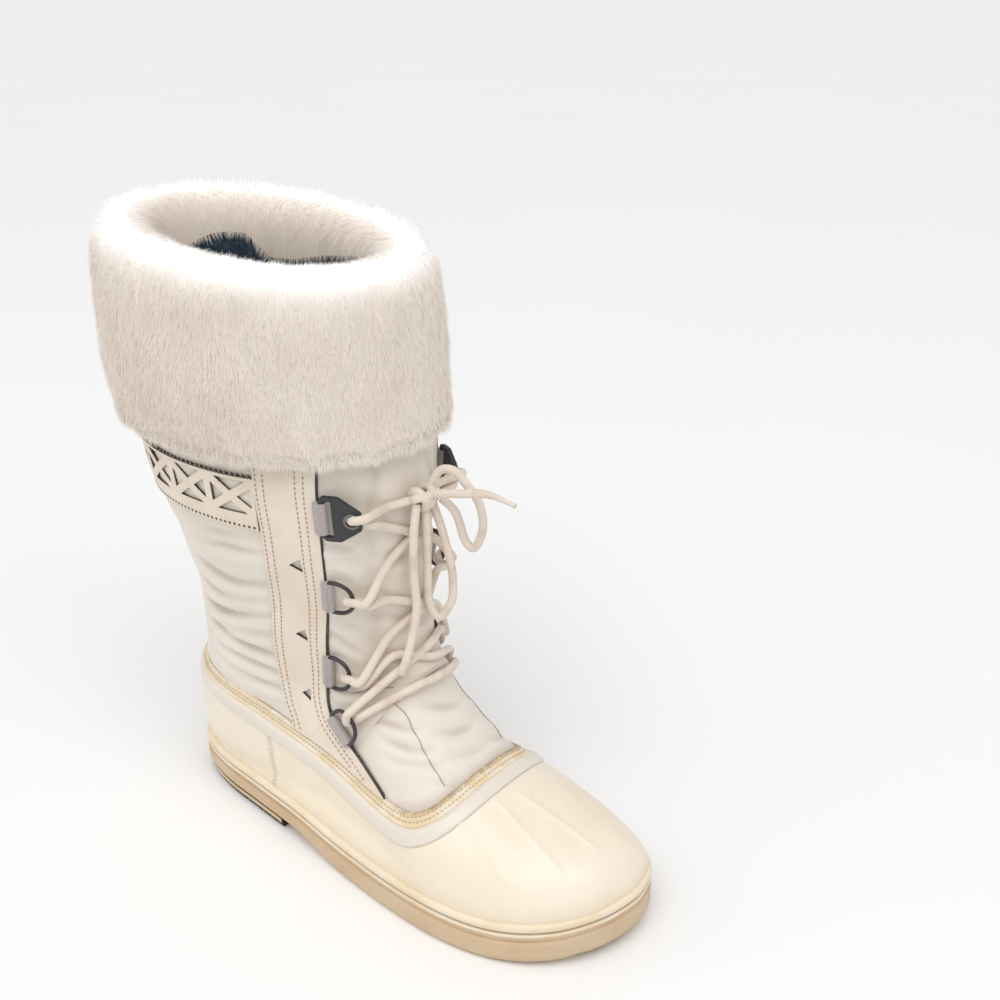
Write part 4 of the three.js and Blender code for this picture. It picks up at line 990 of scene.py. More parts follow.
def pelt_finish():
    """The pelt under the hairs, streaked with the roots' painted shade, with the rim's painted highlight and
    the painted glow.
    """
    f = Finish("pelt", specular_ior_level=0.1, emission_strength=1.0, roughness=0.95)
    strands = f.noise(1.6, 4, 0.7, stretch=(1.0, 1.0, 0.3))
    color = fur_colour(f, strands.smooth(0.2, 0.7))
    return f.done(base_color=color, emission_color=fur_glow(f, color), normal=f.bump(strands, 0.8, 0.6))


def metal_finish():
    """Painted wire, worn through in places."""
    f = Finish("ring_paint", specular_ior_level=0.6, coat_weight=0.3, coat_roughness=0.2)
    worn = f.noise(2.6, 4, 0.7).smooth(0.6, 0.75)
    return f.done(
        base_color=f.mix(colour("metal"), tint(128, 112, 104), worn * 0.6), metallic=0.35 + worn * 0.5,
        roughness=0.34 + f.noise(5) * 0.2, normal=f.bump(f.noise(1.5, 3), 0.08, 0.4),
    )


def plastic_finish():
    """Moulded plastic with pale scuffs."""
    f = Finish("plate_plastic", specular_ior_level=0.5)
    scuff = f.noise(3, 5, 0.7).smooth(0.58, 0.78)
    color = f.mix(colour("plastic"), tint(110, 108, 108), scuff * 0.5)
    return f.done(base_color=color, roughness=0.4 + scuff * 0.3, normal=f.bump(f.noise(1.3, 3), 0.06, 0.4))


def eyelet_finish():
    """Bare metal, a little dull."""
    f = Finish("eyelet", specular_ior_level=0.6, metallic=0.7)
    color = f.mix(tint(150, 148, 148), tint(104, 100, 98), f.noise(2.4, 4))
    return f.done(base_color=color, roughness=0.3 + f.noise(3) * 0.25)


def webbing_finish():
    """Narrow ribbed webbing."""
    f = Finish("webbing", specular_ior_level=0.3, sheen_weight=0.2, roughness=0.55)
    rib = f.ribs(0.4)
    color = f.mix(colour("webbing", 0.84), colour("webbing", 1.1), rib * 0.3 + f.noise(2.5, 3) * 0.7)
    return f.done(base_color=color, normal=f.bump(rib, 0.06, 0.5))


def cord_finish():
    """Round braided cord, darker between its strands, with grubby patches."""
    f = Finish("lace_cord", specular_ior_level=0.25, sheen_weight=0.2, roughness=0.8)
    # Darker where the braid's strands lie low.
    color = f.mix(colour("cord", 0.9, 0.86, 0.83), colour("cord"), f.value("braid").smooth(0.0, 0.7))
    color = f.patches(color, colour("cord", 0.82, 0.76, 0.68), (14, 3), 0.45, 0.75)
    return f.done(base_color=color, normal=f.bump(f.noise(0.6, 3), 0.12, 0.6))


def flecked_finish(name):
    """The plainer finishes: two colours flecked together, with the flecks as relief where there is a nap."""
    thread = dict(specular_ior_level=0.3, roughness=0.7)
    soft = dict(specular_ior_level=0.1, roughness=0.95)
    napped = dict(soft, sheen_weight=0.35, sheen_roughness=0.5)
    plain = dict(specular_ior_level=0.2, roughness=0.9)
    # Each has its two colours, the flecks' noise and edges, the nap's depth and strength, and its constants.
    first, second, noise, edges, nap, constants = {
        # The dark finish: dark edges, piping and thread, and painted shade on the walls of cut holes.
        "dark_edge": (tint(52, 46, 46), tint(88, 80, 76), (3, 2), (0.4, 0.7), (), dict(roughness=0.6)),
        "fleece": (
            colour("fleece", 0.55), colour("fleece", 1.6), (2.4, 5, 0.7), (0.35, 0.7), (1.0, 0.8), napped,
        ),
        "felt": (colour("felt", 0.7), colour("felt", 1.3), (1.8, 5, 0.7), (), (0.6, 0.7), soft),
        "thread": (colour("thread", 0.75), colour("thread", 1.15), (2, 3), (), (), thread),
        "pale_thread": (colour("tape", 0.5, 0.4, 0.28), colour("tape", 0.8), (5, 3), (), (), thread),
        "seam_thread": (tint(158, 144, 134), tint(188, 174, 162), (3, 3), (), (), thread),
        "floor": ((0.9, 0.9, 0.9), (0.92, 0.92, 0.92), (400, 2), (), (), plain),
    }[name]
    f = Finish(name, **constants)
    flecks = f.noise(*noise)
    if nap:
        f.done(normal=f.bump(flecks, *nap))
    return f.done(base_color=f.mix(first, second, flecks.smooth(*edges) if edges else flecks))


MAKERS = {
    "nylon": nylon_finish, "leather": leather_finish, "rubber": rubber_finish, "wall": wall_finish,
    "bead": bead_finish, "tread": tread_finish, "tape": tape_finish, "fur": fur_finish, "pelt": pelt_finish,
    "metal": metal_finish, "plastic": plastic_finish, "eyelet": eyelet_finish, "webbing": webbing_finish,
    "cord": cord_finish,
}
FINISHES = {}


def finish(name):
    """A finish by name, made when it is first asked for."""
    if name not in FINISHES:
        FINISHES[name] = MAKERS[name]() if name in MAKERS else flecked_finish(name)
    return FINISHES[name]


# The sole, worked out from its outline
OUTLINE_STEPS = 110


def heel_drop(x):
    """0 over the heel, 1 from the arch's front end on."""
    return ease((x - HEEL_TREAD_LENGTH) / (ARCH_END - HEEL_TREAD_LENGTH))


def spring(x):
    """How far the sole springs up towards the toe."""
    return TOE_SPRING * np.clip((x - FLAT_END) / (SOLE_LENGTH - FLAT_END), 0, 1) ** 2


def sole_bottom(x):
    return (HEEL_TREAD_HEIGHT + CLEARANCE) * (1 - heel_drop(x)) + spring(x)


def sole_top(x):
    return SOLE_HEEL_TOP + (SOLE_BALL_TOP - SOLE_HEEL_TOP) * heel_drop(x) + spring(x)


def outline_loop(inset=0.0):
    """The sole's outline from above, moved in by inset."""
    steps = np.arange(OUTLINE_STEPS + 1)
    places = steps / OUTLINE_STEPS * (len(OUTLINE["lateral"]) - 1)
    x = SOLE_LENGTH * (1 - np.cos(math.pi * steps / OUTLINE_STEPS)) / 2
    lateral, medial = (
        np.stack([x, BALL_WIDTH * blend_between(OUTLINE[side], places)], -1) for side in ("lateral", "medial")
    )
    loop = np.concatenate([lateral[1:], medial[:-1][::-1]])
    along = unit(np.roll(loop, -1, 0) - np.roll(loop, 1, 0))
    return loop + np.stack([-along[:, 1], along[:, 0]], -1) * inset


def outline_gap(flat):
    """How far flat points lie inside the sole's outline, and the way out to it."""
    loop = outline_loop()
    way = np.roll(loop, -1, 0) - loop
    t = np.clip(((flat[:, None] - loop) * way).sum(-1) / (way**2).sum(-1), 0, 1)
    gap = loop + t[..., None] * way - flat[:, None]
    far = np.linalg.norm(gap, axis=-1)
    k = far.argmin(1)
    rows = np.arange(len(flat))
    sign = np.where(inside(flat, loop), 1, -1)
    return sign * far[rows, k], unit(gap[rows, k]) * sign[:, None]


def collar_strip(count, rows):
    """Rows of points beside the shell's top edge, each (rise, outset), and their normals."""
    dense = full_turn(3600)
    line = form_points(collar_place(dense), dense)
    line, _ = FIND.near(resample(line, count=count, closed=True, between=1))
    ahead = unit(np.roll(line, -2, 0) - np.roll(line, 2, 0))
    _, out = FIND.near(line)
    upward = unit(np.cross(out, ahead))
    upward *= np.sign(upward[:, 2].mean())
    points, normals = [], []
    for rise, outset in rows:
        point, normal = FIND.near(line + upward * np.broadcast_to(rise, (count,))[:, None])
        points.append(point + normal * outset)
        normals.append(normal)
    return np.array(points), np.array(normals)


def across_faces(count, start, upwards):
    """Faces between the lateral and the medial half of an outline loop."""
    faces = []
    heel = count - 1
    for j in range(count // 2):
        a, b = (heel + j) % count, (heel + j + 1) % count
        c, d = (heel - j) % count, (heel - j - 1) % count
        ring = []
        for k in (a, b, d, c):
            if k not in ring:
                ring.append(k)
        if len(ring) > 2:
            ring = [start + k for k in ring]
            faces.append(ring if upwards else ring[::-1])
    return faces


def sole_stack(levels):
    """A solid between levels, each of (inset, height function of x)."""
    rows = []
    for inset, height in levels:
        loop = outline_loop(inset)
        rows.append(np.concatenate([loop, height(loop[:, 0])[:, None]], 1))
    count = len(rows[0])
    faces = grid_faces(len(rows), count, True)[:, ::-1].tolist()
    faces += across_faces(count, 0, False) + across_faces(count, (len(rows) - 1) * count, True)
    return np.concatenate(rows), faces


def block(corners, low, high):
    """A flat outline of (x, y) corners raised from low to high."""
    corners = np.array(corners, float)
    count = len(corners)
    points = np.concatenate([np.c_[corners, np.full(count, low)], np.c_[corners, np.full(count, high)]])
    faces = [list(range(count))[::-1], list(range(count, 2 * count))]
    faces += [[k, (k + 1) % count, count + (k + 1) % count, count + k] for k in range(count)]
    return points, faces


def cut_away(piece, cutters):
    """Cuts the cutters' shapes out of a piece."""
    points, faces = joined(cutters)
    mesh = bpy.data.meshes.new("cutter")
    mesh.from_pydata(to_frame(points), [], faces)
    tool = put_in_scene("cutter", mesh)
    cut = piece.modifiers.new("grooves", "BOOLEAN")
    cut.operation = "DIFFERENCE"
    cut.solver = "EXACT"
    cut.use_self = True
    cut.object = tool
    keep_modifiers(piece)
    bpy.data.objects.remove(tool)


def keep_modifiers(piece):
    """Makes what a piece's modifiers do its own mesh."""
    graph = bpy.context.evaluated_depsgraph_get()
    made = bpy.data.meshes.new_from_object(piece.evaluated_get(graph), depsgraph=graph)
    piece.modifiers.clear()
    old = piece.data
    piece.data = made
    bpy.data.meshes.remove(old)


# Levels of the sole's wall: inset, and share of the wall's height.
WALL_LEVELS = (
    (2.6, 0), (2.0, 0.03), (1.0, 0.1), (0.3, 0.2), (0.1, 0.3), (0.35, 0.5), (0.1, 0.7), (0.2, 0.78),
    (1.3, 0.82), (1.5, 0.87), (0.8, 0.9), (0.5, 0.95), (0.9, 1),
)
# Levels of the heel tread and of the footbed over the sole: inset and height.
HEEL_LEVELS = (
    (3.0, 0), (2.4, 0.6), (2.2, 3.0), (1.9, 3.3), (1.2, 3.6), (1.1, HEEL_TREAD_HEIGHT + CLEARANCE),
)
FOOTBED_LEVELS = ((5.5, CLEARANCE), (5.5, 4.3), (7, 5.2))
TREAD_GROOVES = 7
HEEL_GROOVES = 12
HEEL_GROOVE_WIDTH = 1.6
HEEL_GROOVE_DEPTH = 2.0
HEEL_SWEEP = 7


def build_outsole():
    def level(share):
        return lambda x: sole_bottom(x) + share * (sole_top(x) - sole_bottom(x))

    wall = sole_stack([(inset, level(share)) for inset, share in WALL_LEVELS])
    piece = new_piece("outsole_wall", *wall, finish("wall"), ["outsole"], "tan_rubber", 45)
    start = ARCH_END + 2
    pitch = (SOLE_LENGTH - start - 8) / TREAD_GROOVES
    point, wing = 7, 0.35 * BALL_WIDTH
    cutters = []
    for k in range(TREAD_GROOVES):
        x = start + pitch * (k + 0.5)
        end = x + LUG_GROOVE
        chevron = [(x, -wing), (end, -wing), (end + point, 0), (end, wing), (x, wing), (x + point, 0)]
        cutters.append(block(chevron, -10, LUG_DEPTH + float(spring(np.array(x)))))
    cut_away(piece, cutters)
    piece.data.set_sharp_from_angle(angle=math.radians(40))


def build_heel_tread():
    """The black heel piece: tan above like the wall, with a thin serrated black edge."""
    levels = [(inset, lambda x, z=z: np.full_like(x, z)) for inset, z in HEEL_LEVELS]
    both = [finish("tread"), finish("wall")]
    piece = new_piece("heel_tread_block", *sole_stack(levels), both, ["heel_tread"], "black_rubber", 40)
    breast, side, beyond = HEEL_TREAD_LENGTH, BALL_WIDTH, 400
    ahead = [(breast, -side), (beyond, -side), (beyond, side), (breast, side), (breast - HEEL_SWEEP, 0)]
    cutters = [block(ahead, -5, 90)]
    pitch = (breast - HEEL_SWEEP) / (HEEL_GROOVES + 1)
    for k in range(1, HEEL_GROOVES + 1):
        x = pitch * k + HEEL_SWEEP / 2
        for near, far in ((11, side), (-side, -11)):
            end = x + HEEL_GROOVE_WIDTH
            cutters.append(block([(x, near), (end, near), (end, far), (x, far)], -5, HEEL_GROOVE_DEPTH))
    cut_away(piece, cutters)
    for face in piece.data.polygons:
        face.material_index = int(face.center.z > 0.0034 and abs(face.normal.z) < 0.95)
    piece.data.set_sharp_from_angle(angle=math.radians(35))


def build_foxing():
    """A thin line, a dark groove and a round bead, all round the foot of the shell."""
    # Each row: inset, share of the bead's height, and how much darker it is coloured.
    profile = [
        (6, 0, 0), (0.5, 0, 0), (0.25, 0.06, 0), (0.25, 0.17, 0), (0.6, 0.22, 0), (1.5, 0.26, 1),
        (1.6, 0.33, 1), (1.2, 0.38, 0.5),
    ]
    for t in np.linspace(-0.42 * math.pi, 0.5 * math.pi, 9):
        profile.append((1.7 - 1.7 * math.cos(t) + 0.05, 0.66 + 0.31 * math.sin(t), 0))
    profile.append((6, 1, 0))
    levels = [(inset, lambda x, k=k: sole_top(x) + CLEARANCE + k * BEAD_HEIGHT) for inset, k, _ in profile]
    points, _ = sole_stack(levels)
    count = len(points) // len(profile)
    faces = grid_faces(len(profile), count, True)[:, ::-1]
    groove = np.repeat([dark for _, _, dark in profile], count)
    new_piece(
        "foxing", points, faces, finish("bead"), ["foxing_bead"], "cream_rubber", values={"groove": groove}
    )


def build_insole():
    """The felt footbed, its edge drawn in to the shell's inside."""
    levels = [(inset, lambda x, rise=rise: sole_top(x) + rise) for inset, rise in FOOTBED_LEVELS]
    points, faces = sole_stack(levels)
    points[:, 1] *= np.where(np.abs(points[:, 1]) > 20, 0.93, 1)
    points[:, 0] = np.clip(points[:, 0], 19, 274)
    new_piece("footbed", points, faces, finish("felt"), ["insole"], "felt", 50)


def line_gap(points, a, b):
    """How far points lie from a line in plan, and how far along it they are."""
    a, b = np.array(a, float), np.array(b, float)
    way = b - a
    along = ((points - a) @ way) / (way @ way)
    near = a + np.clip(along, 0, 1)[..., None] * way
    return np.linalg.norm(points - near, axis=-1), along


def toe_relief(points, normal):
    """The fine ridges on the toe, each with a shallow hollow beside it."""
    total = np.zeros(points.shape[:-1])
    for ridge in zip(*TOE_RIDGES.values()):
        gap, along = line_gap(points[..., :2], ridge[:2], ridge[2:])
        fade = ease((along + 0.2) / 0.2) * ease((1.08 - along) / 0.3)
        total += (0.4 * np.exp(-((gap / 0.6) ** 2)) + 0.4 * np.exp(-((gap / 2.2) ** 2))) * fade
    return total * (normal[..., 2] > 0.1)


# The shell's lip in section: rise from the edge, lift in steps of the lip, more lift, and painted shade in
# its groove.
LIP = (
    (-6, 0, -2.0, 0), (0.2, 0, -2.0, 0), (0.35, 0, -0.9, 0), (0, 0, 0.1, 0), (-0.5, 0, 0.55, 0),
    (-1.1, 0.85, 0, 0), (-2, 1, 0, 0), (-4.5, 1, 0, 0), (-6.8, 0.96, 0, 0), (-7.6, 0.8, 0, 0),
    (-8.1, 0.35, 0, 0.375), (-8.4, 0, -0.2, 0.75), (-8.8, 0, -0.45, 0.6), (-9.3, 0, -0.2, 0),
    (-9.9, 0, -0.6, 0),
)
SIDE_SEAM = 86.5
# The dome that closes the toe's tip: share of the first ring's size, and rise.
TOE_DOME = ((0.002, 1.0), (0.35, 0.85), (0.7, 0.45))


def build_shell():
    """The moulded shell with its ridges and mould seam, and the lip round its top edge."""
    rows, count = 250, 340
    places = np.linspace(0.15, 16.5, rows)[:, None]
    out = CLEARANCE + SHELL_WALL
    base, normal = skin(places, ring_angles(count)[None, :], out)
    seam = np.exp(-(((base[..., 0] - SIDE_SEAM) / 1.3) ** 2)) * (np.abs(normal[..., 1]) > 0.5)
    points = base + normal * (toe_relief(base, normal) - 0.4 * seam)[..., None]
    tip = points[0].mean(0)
    dome = np.array([tip + (points[0] - tip) * share + [rise, 0, 0] for share, rise in TOE_DOME])
    points, base = np.concatenate([dome, points]), np.concatenate([dome, base])
    seam = np.concatenate([np.zeros((len(dome), count)), seam])
    top = sole_top(points[..., 0]) + CLEARANCE + BEAD_HEIGHT
    # Low down the wall spreads to meet the bead.
    low = points[..., 2] < top + 20
    part = points[low]
    gap, way = outline_gap(part[:, :2])
    want = 2.4 + 0.045 * np.maximum(part[:, 2] - top[low], 0) ** 2
    soft = 0.8
    part[:, :2] += way * (soft * np.logaddexp(0, np.clip((gap - want) / soft, -30, 30)))[:, None]
    points[low] = part
    level = over_line(base[..., 0], base[..., 2], COLLAR_LINE)
    height = points[..., 2] - (top - BEAD_HEIGHT - 1)
    faces = grid_faces(len(points), count, True)
    faces = faces[(height.ravel()[faces] > 0).any(1) & (level.ravel()[faces] < -3).all(1)]
    dust = np.clip(1 - (points[..., 2] - top) / 10, 0, 1)
    new_piece(
        "shell_rubber", points, faces, finish("rubber"), ["shell"], "cream_rubber",
        values={"lip": np.zeros(dust.shape), "groove": 0.55 * seam, "low": dust},
    )
    step, count = sizes().lip_step * 1000, 700
    points, _ = collar_strip(count, [(rise, out + step * share + lift) for rise, share, lift, _ in LIP])
    shape = (len(LIP), count)
    # The last column paints shade in the crease under the lip.
    dirt = np.repeat([row[3] for row in LIP], count)
    new_piece(
        "shell_lip", points, grid_faces(*shape, True), finish("rubber"), slot="cream_rubber",
        values={"lip": np.ones(shape), "groove": dirt, "low": np.zeros(shape)},
    )


# The tape in section: rise from the shell's edge, and outset.
TAPE = (
    (0.1, 0.35), (0.1, 1.5), (0.45, 2.15), (1.1, 2.3), (1.7, 1.85), (2.1, 1.45), (2.9, 1.35), (4.1, 1.55),
    (5.3, 1.35), (6.2, 1.4), (6.9, 1.2), (7.0, 0.2),
)
TAPE_ROWS = (2.9, 5.3)


def build_trim():
    """Stitched tape over the joint: a raised cord at its foot, a pinked top edge and two rows of stitches."""
    count = 1000
    draw = np.random.default_rng(17)
    pink = 0.5 * np.abs(((np.arange(count) * 0.42) % 2) - 1) + 0.25 * draw.random(count)
    points, _ = collar_strip(count, [(rise + (pink if rise > 6.5 else 0), outset) for rise, outset in TAPE])
    front = ease((points[..., 0] - 165) / 35)
    rise = np.array(TAPE)[:, :1]
    high = ease((rise - 3) / 3.5)
    dirt = 0.08 + 0.2 * high + 0.34 * front * high * ease((rise - 5) / 1.6) + 0.1 * front
    faces = grid_faces(len(points), count, True)[:, ::-1]
    new_piece("collar_tape", points, faces, finish("tape"), ["collar_trim"], "tape", values={"dirt": dirt})
    points, normals = collar_strip(600, [(rise, OVERLAY + 0.15) for rise in TAPE_ROWS])
    lines = [(np.concatenate([p, p[:1]]), np.concatenate([n, n[:1]])) for p, n in zip(points, normals)]
    new_piece("tape_stitches", *stitches(lines, 2.2, 1.5, 0.28), finish("pale_thread"), slot="tape")


def hem_value(points):
    """1 at the tape, fading up the fabric; strongest over the vamp."""
    rise = over_line(points[..., 0], points[..., 2], COLLAR_LINE) - TRIM_HEIGHT
    front = 0.45 + 0.55 * ease((points[..., 0] - 160) / 40)
    return np.clip(1 - rise / 9, 0, 1) * front


TONGUE_SINK = 3.4
TONGUE_LOWEST = -2.6


def build_fabric():
    """The padded shaft and vamp as one skin, with its folds, sunk where the tongue lies over it."""
    rows, count = 310, 300
    angles = ring_angles(count)[None, :]
    top = height_place(angles[0], LEG_HEIGHT - 0.4)[0]
    base, normal = skin(np.linspace(2.6, top, rows)[:, None], angles)
    level = over_line(base[..., 0], base[..., 2], COLLAR_LINE)
    relief = fabric_relief(base) * sizes().fold_depth * ease(level / 9)
    ahead = base[..., 0] - edge_x("front", base[..., 2])
    sink = ease((ahead + 1) / 4) * ease((base[..., 2] - (VAMP_TOP + 3)) / 5)
    points = base + normal * (relief * (1 - sink) - TONGUE_SINK * sink)[..., None]
    faces = grid_faces(rows, count, True)
    faces = faces[(level.ravel()[faces] > -6).all(1)]
    # The fold value paints shade in the folds.
    new_piece(
        "shaft_fabric", points, faces, finish("nylon"), ["upper"], "shaft_fabric",
        values={"fold": np.clip(-relief, 0, 3), "hem": hem_value(base)},
    )
    # The dark lining inside, open at the top.
    rows, count = 120, 120
    base, normal = skin(top * np.linspace(0.02, 1, rows)[:, None], ring_angles(count)[None, :])
    x, y, z = np.moveaxis(base, -1, 0)
    wave = 0.25 * np.sin(z / 13 + x / 17) + 0.2 * np.sin(y / 9)
    points = base + normal * (wave - 4.4 - 3 * (z > 96) * (x > 110))[..., None]
    faces = grid_faces(rows, count, True)[:, ::-1]
    faces = faces[(points[..., 2].ravel()[faces] > 20.0).all(1)]
    new_piece("fleece_lining", points, faces, finish("fleece"), slot="felt")


def build_tongue():
    """The gusset tongue: a soft panel from stay to stay, with folds at the rings and a tucked edge."""
    rows, count = 190, 150
    low, high = (height_place(np.array([math.pi]), z)[0] for z in (VAMP_TOP + 1.5, THROAT_TOP + 8))
    places = np.linspace(low, high, rows)
    lateral, medial = (throat_angle(places, side, -4.0) for side in (-1, 1))
    share = np.linspace(0, 1, count)
    angles = lateral[:, None] + (medial - lateral)[:, None] * share
    base = form_points(places[:, None], angles)
    relief = both_sides(base, TONGUE_FOLDS)
    y, z = base[..., 1], base[..., 2]
    relief += 0.5 * np.sin(z / 9 + y / 14) * np.sin(y / 8 + z / 23)
    # Each seam between the tongue's middle and its gusset lies in a soft trough.
    for name in ("tongue_lateral", "tongue_medial"):
        seam = np.array(SEAMS[name])
        at = np.interp(z, seam[::-1, 2], seam[::-1, 1])
        relief -= 1.1 * np.exp(-(((y - at) / 3.2) ** 2))
    edge = ease(np.minimum(share, 1 - share)[None, :] * count / 8)
    outset = np.maximum(-1.6 + edge * 2.4 + relief * sizes().fold_depth * edge, TONGUE_LOWEST)
    row = np.arange(rows)
    ends = ease(np.minimum(row, rows - 1 - row + 30)[:, None] / 4)
    outset = outset * ends + (1 - ends) * 0.15
    points, _ = skin(places[:, None], angles, outset)
    # The fold value paints shade in the folds, and more of it towards the tongue's tucked edges.
    fold = np.clip(-relief, 0, 3) + 0.5 * (1 - edge)
    new_piece(
        "tongue_fabric", points, grid_faces(rows, count), finish("nylon"), ["tongue"], "shaft_fabric",
        values={"fold": fold, "hem": np.zeros(fold.shape)},
    )


def build_seams():
    """Thin threads along the fabric's seams."""
    parts = []
    graph = bpy.context.evaluated_depsgraph_get()
    skins = (bpy.data.objects[name] for name in ("shaft_fabric", "tongue_fabric"))
    shaft, tongue = (BVHTree.FromObject(piece, graph) for piece in skins)
    for name, line in SEAMS.items():
        tree, lift = (tongue, 0.45) if name.startswith("tongue") else (shaft, 0.25)
        spots = []
        for y, z in resample(line, step=1.2)[:, 1:] * MILLIMETRE:
            spot, normal, _, _ = tree.ray_cast(Vector((0.4, y, z)), Vector((-1, 0, 0)))
            if spot is not None:
                spots.append(np.array(spot) * 1000 + np.array(normal) * lift + [HEEL_CENTRE, 0, 0])
        if len(spots) > 12:
            padded = np.pad(np.array(spots), ((2, 2), (0, 0)), "edge")
            even = np.stack([np.convolve(padded[:, k], np.ones(5) / 5, "valid") for k in range(3)], -1)
            parts.append(tube(even, 0.26, 6))
    new_piece("fabric_seams", *joined(parts), finish("seam_thread"), slot="shaft_fabric")


def stay_outline():
    """The stay in the side view, from its flared foot at the tape to under the cuff."""
    lines = {}
    for name in ("front", "rear"):
        z = np.linspace(40, STAY_TOP, 90)
        x = edge_x(name, z)
        free = over_line(x, z, COLLAR_LINE) > TRIM_HEIGHT - 0.6
        first = np.argmax(free)
        lines[name] = np.stack([x[first:], z[first:]], -1)
    way = unit(np.gradient(COLLAR_LINE, axis=0))
    foot = COLLAR_LINE + np.stack([-way[:, 1], way[:, 0]], -1) * (TRIM_HEIGHT - 0.6)
    left, right = lines["rear"][0][0] + 1, lines["front"][0][0] - 1
    foot = foot[(foot[:, 0] > left) & (foot[:, 0] < right)]
    return np.concatenate([lines["front"], lines["rear"][::-1], foot])


def stay_skin(x, z, side):
    """Points of the skin under the stays, a little uneven as the fabric is, with normals."""
    points, normals = FIND.side(x, z, side)
    return points + normals * (0.25 * fabric_relief(points))[..., None], normals


def edge_row(name, side, inset, lift, top=STAY_TOP - 3):
    """A line on the stay beside one of its edges, with normals."""
    z = np.linspace(40, top, 120)
    x = edge_x(name, z)
    way = unit(np.stack([np.gradient(x), np.gradient(z)], -1))
    x, z = x - way[:, 1] * inset, z + way[:, 0] * inset
    free = over_line(x, z, COLLAR_LINE) > TRIM_HEIGHT + 0.4
    points, normals = stay_skin(x[free], z[free], side)
    return points + normals * lift, normals


# Rows of stitches on a stay: which edge, and inset from it.
STAY_ROWS = (("front", 4.2), ("front", 7.2), ("rear", -1.6), ("rear", -5.0))


def build_stays():
    """The leather stays with their cut triangles, four rows of stitches each, and a dark piped front edge."""
    holes = []
    for share in STAY_CUTS:
        z = LEG_HEIGHT * share
        x = edge_x("rear", z) * 0.42 + edge_x("front", z) * 0.58
        holes.append([(x - 3.2, z), (x + 2.2, z - 3.6), (x + 2.2, z + 3.6)])
    flat, faces = flat_sheet(stay_outline(), holes, 2.6)
    # The dark finish on the lower side walls: painted shade on the walls of the cut triangles, and dark along
    # the outline.
    both = [finish("leather"), finish("dark_edge")]
    rows, pipes = [], []
    top = CLEARANCE + OVERLAY
    for side, label in ((-1, "lateral"), (1, "medial")):
        base, out = stay_skin(flat[:, 0], flat[:, 1], side)
        points, quads, marks = thick_sheet(base, out, faces, CLEARANCE, top + 0.25)
        if side < 0:
            quads = [q[::-1] for q in quads]
        node = f"eyestay_{label}"
        new_piece(f"stay_leather_{label}", points, quads, both, [node], "leather", 50, indexes=marks)
        rows += [edge_row(edge, side, inset, top + 0.3) for edge, inset in STAY_ROWS]
        edge, _ = edge_row("front", side, -0.3, 0.8)
        pipes.append(tube(resample(edge, step=2), 0.75, 8))
    pitch = sizes().stitch_pitch * 1000
    new_piece("stay_stitches", *stitches(rows, pitch, 1.8, 0.3), finish("thread"), slot="leather")
    new_piece("stay_piping", *joined(pipes), finish("dark_edge"), slot="leather")


def band_turns():
    """Directions round the back of the leg at equal distances, from the outer stay to the inner one."""
    middle = BAND_BOTTOM + BAND_HEIGHT / 2
    turns = np.linspace(-math.pi * 1.7, -math.pi * 0.3, 400)
    points, _ = FIND.round(turns, middle)
    keep = points[:, 0] < edge_x("rear", middle) + 4
    return run_along(points[keep]), turns[keep]


def lattice_holes(cell):
    """Four triangles in each cell, between the crossed bars."""
    middle = BAND_BOTTOM + BAND_HEIGHT / 2 + 2.8
    half_wide, half_high = cell / 2 - LATTICE_BAR / 4, BAND_HEIGHT / 2 - 6
    slope = half_high / half_wide
    gap = LATTICE_BAR * 0.62
    point = gap * math.hypot(1, slope)
    reach = half_wide - gap * 0.6
    high, wide = (reach - point / slope) * slope, (half_high - point) / slope
    holes = []
    for k in range(LATTICE_CELLS):
        s = cell * (k + 0.5)
        for way in (-1, 1):
            aside, level = s + way * reach, middle + way * half_high
            holes.append([(s + way * point / slope, middle), (aside, middle + high), (aside, middle - high)])
            holes.append([(s, middle + way * point), (s + wide, level), (s - wide, level)])
    return holes


DOT_RADIUS = 0.72
DOT_PITCH = 2.9
DOT_RISE = 1.9


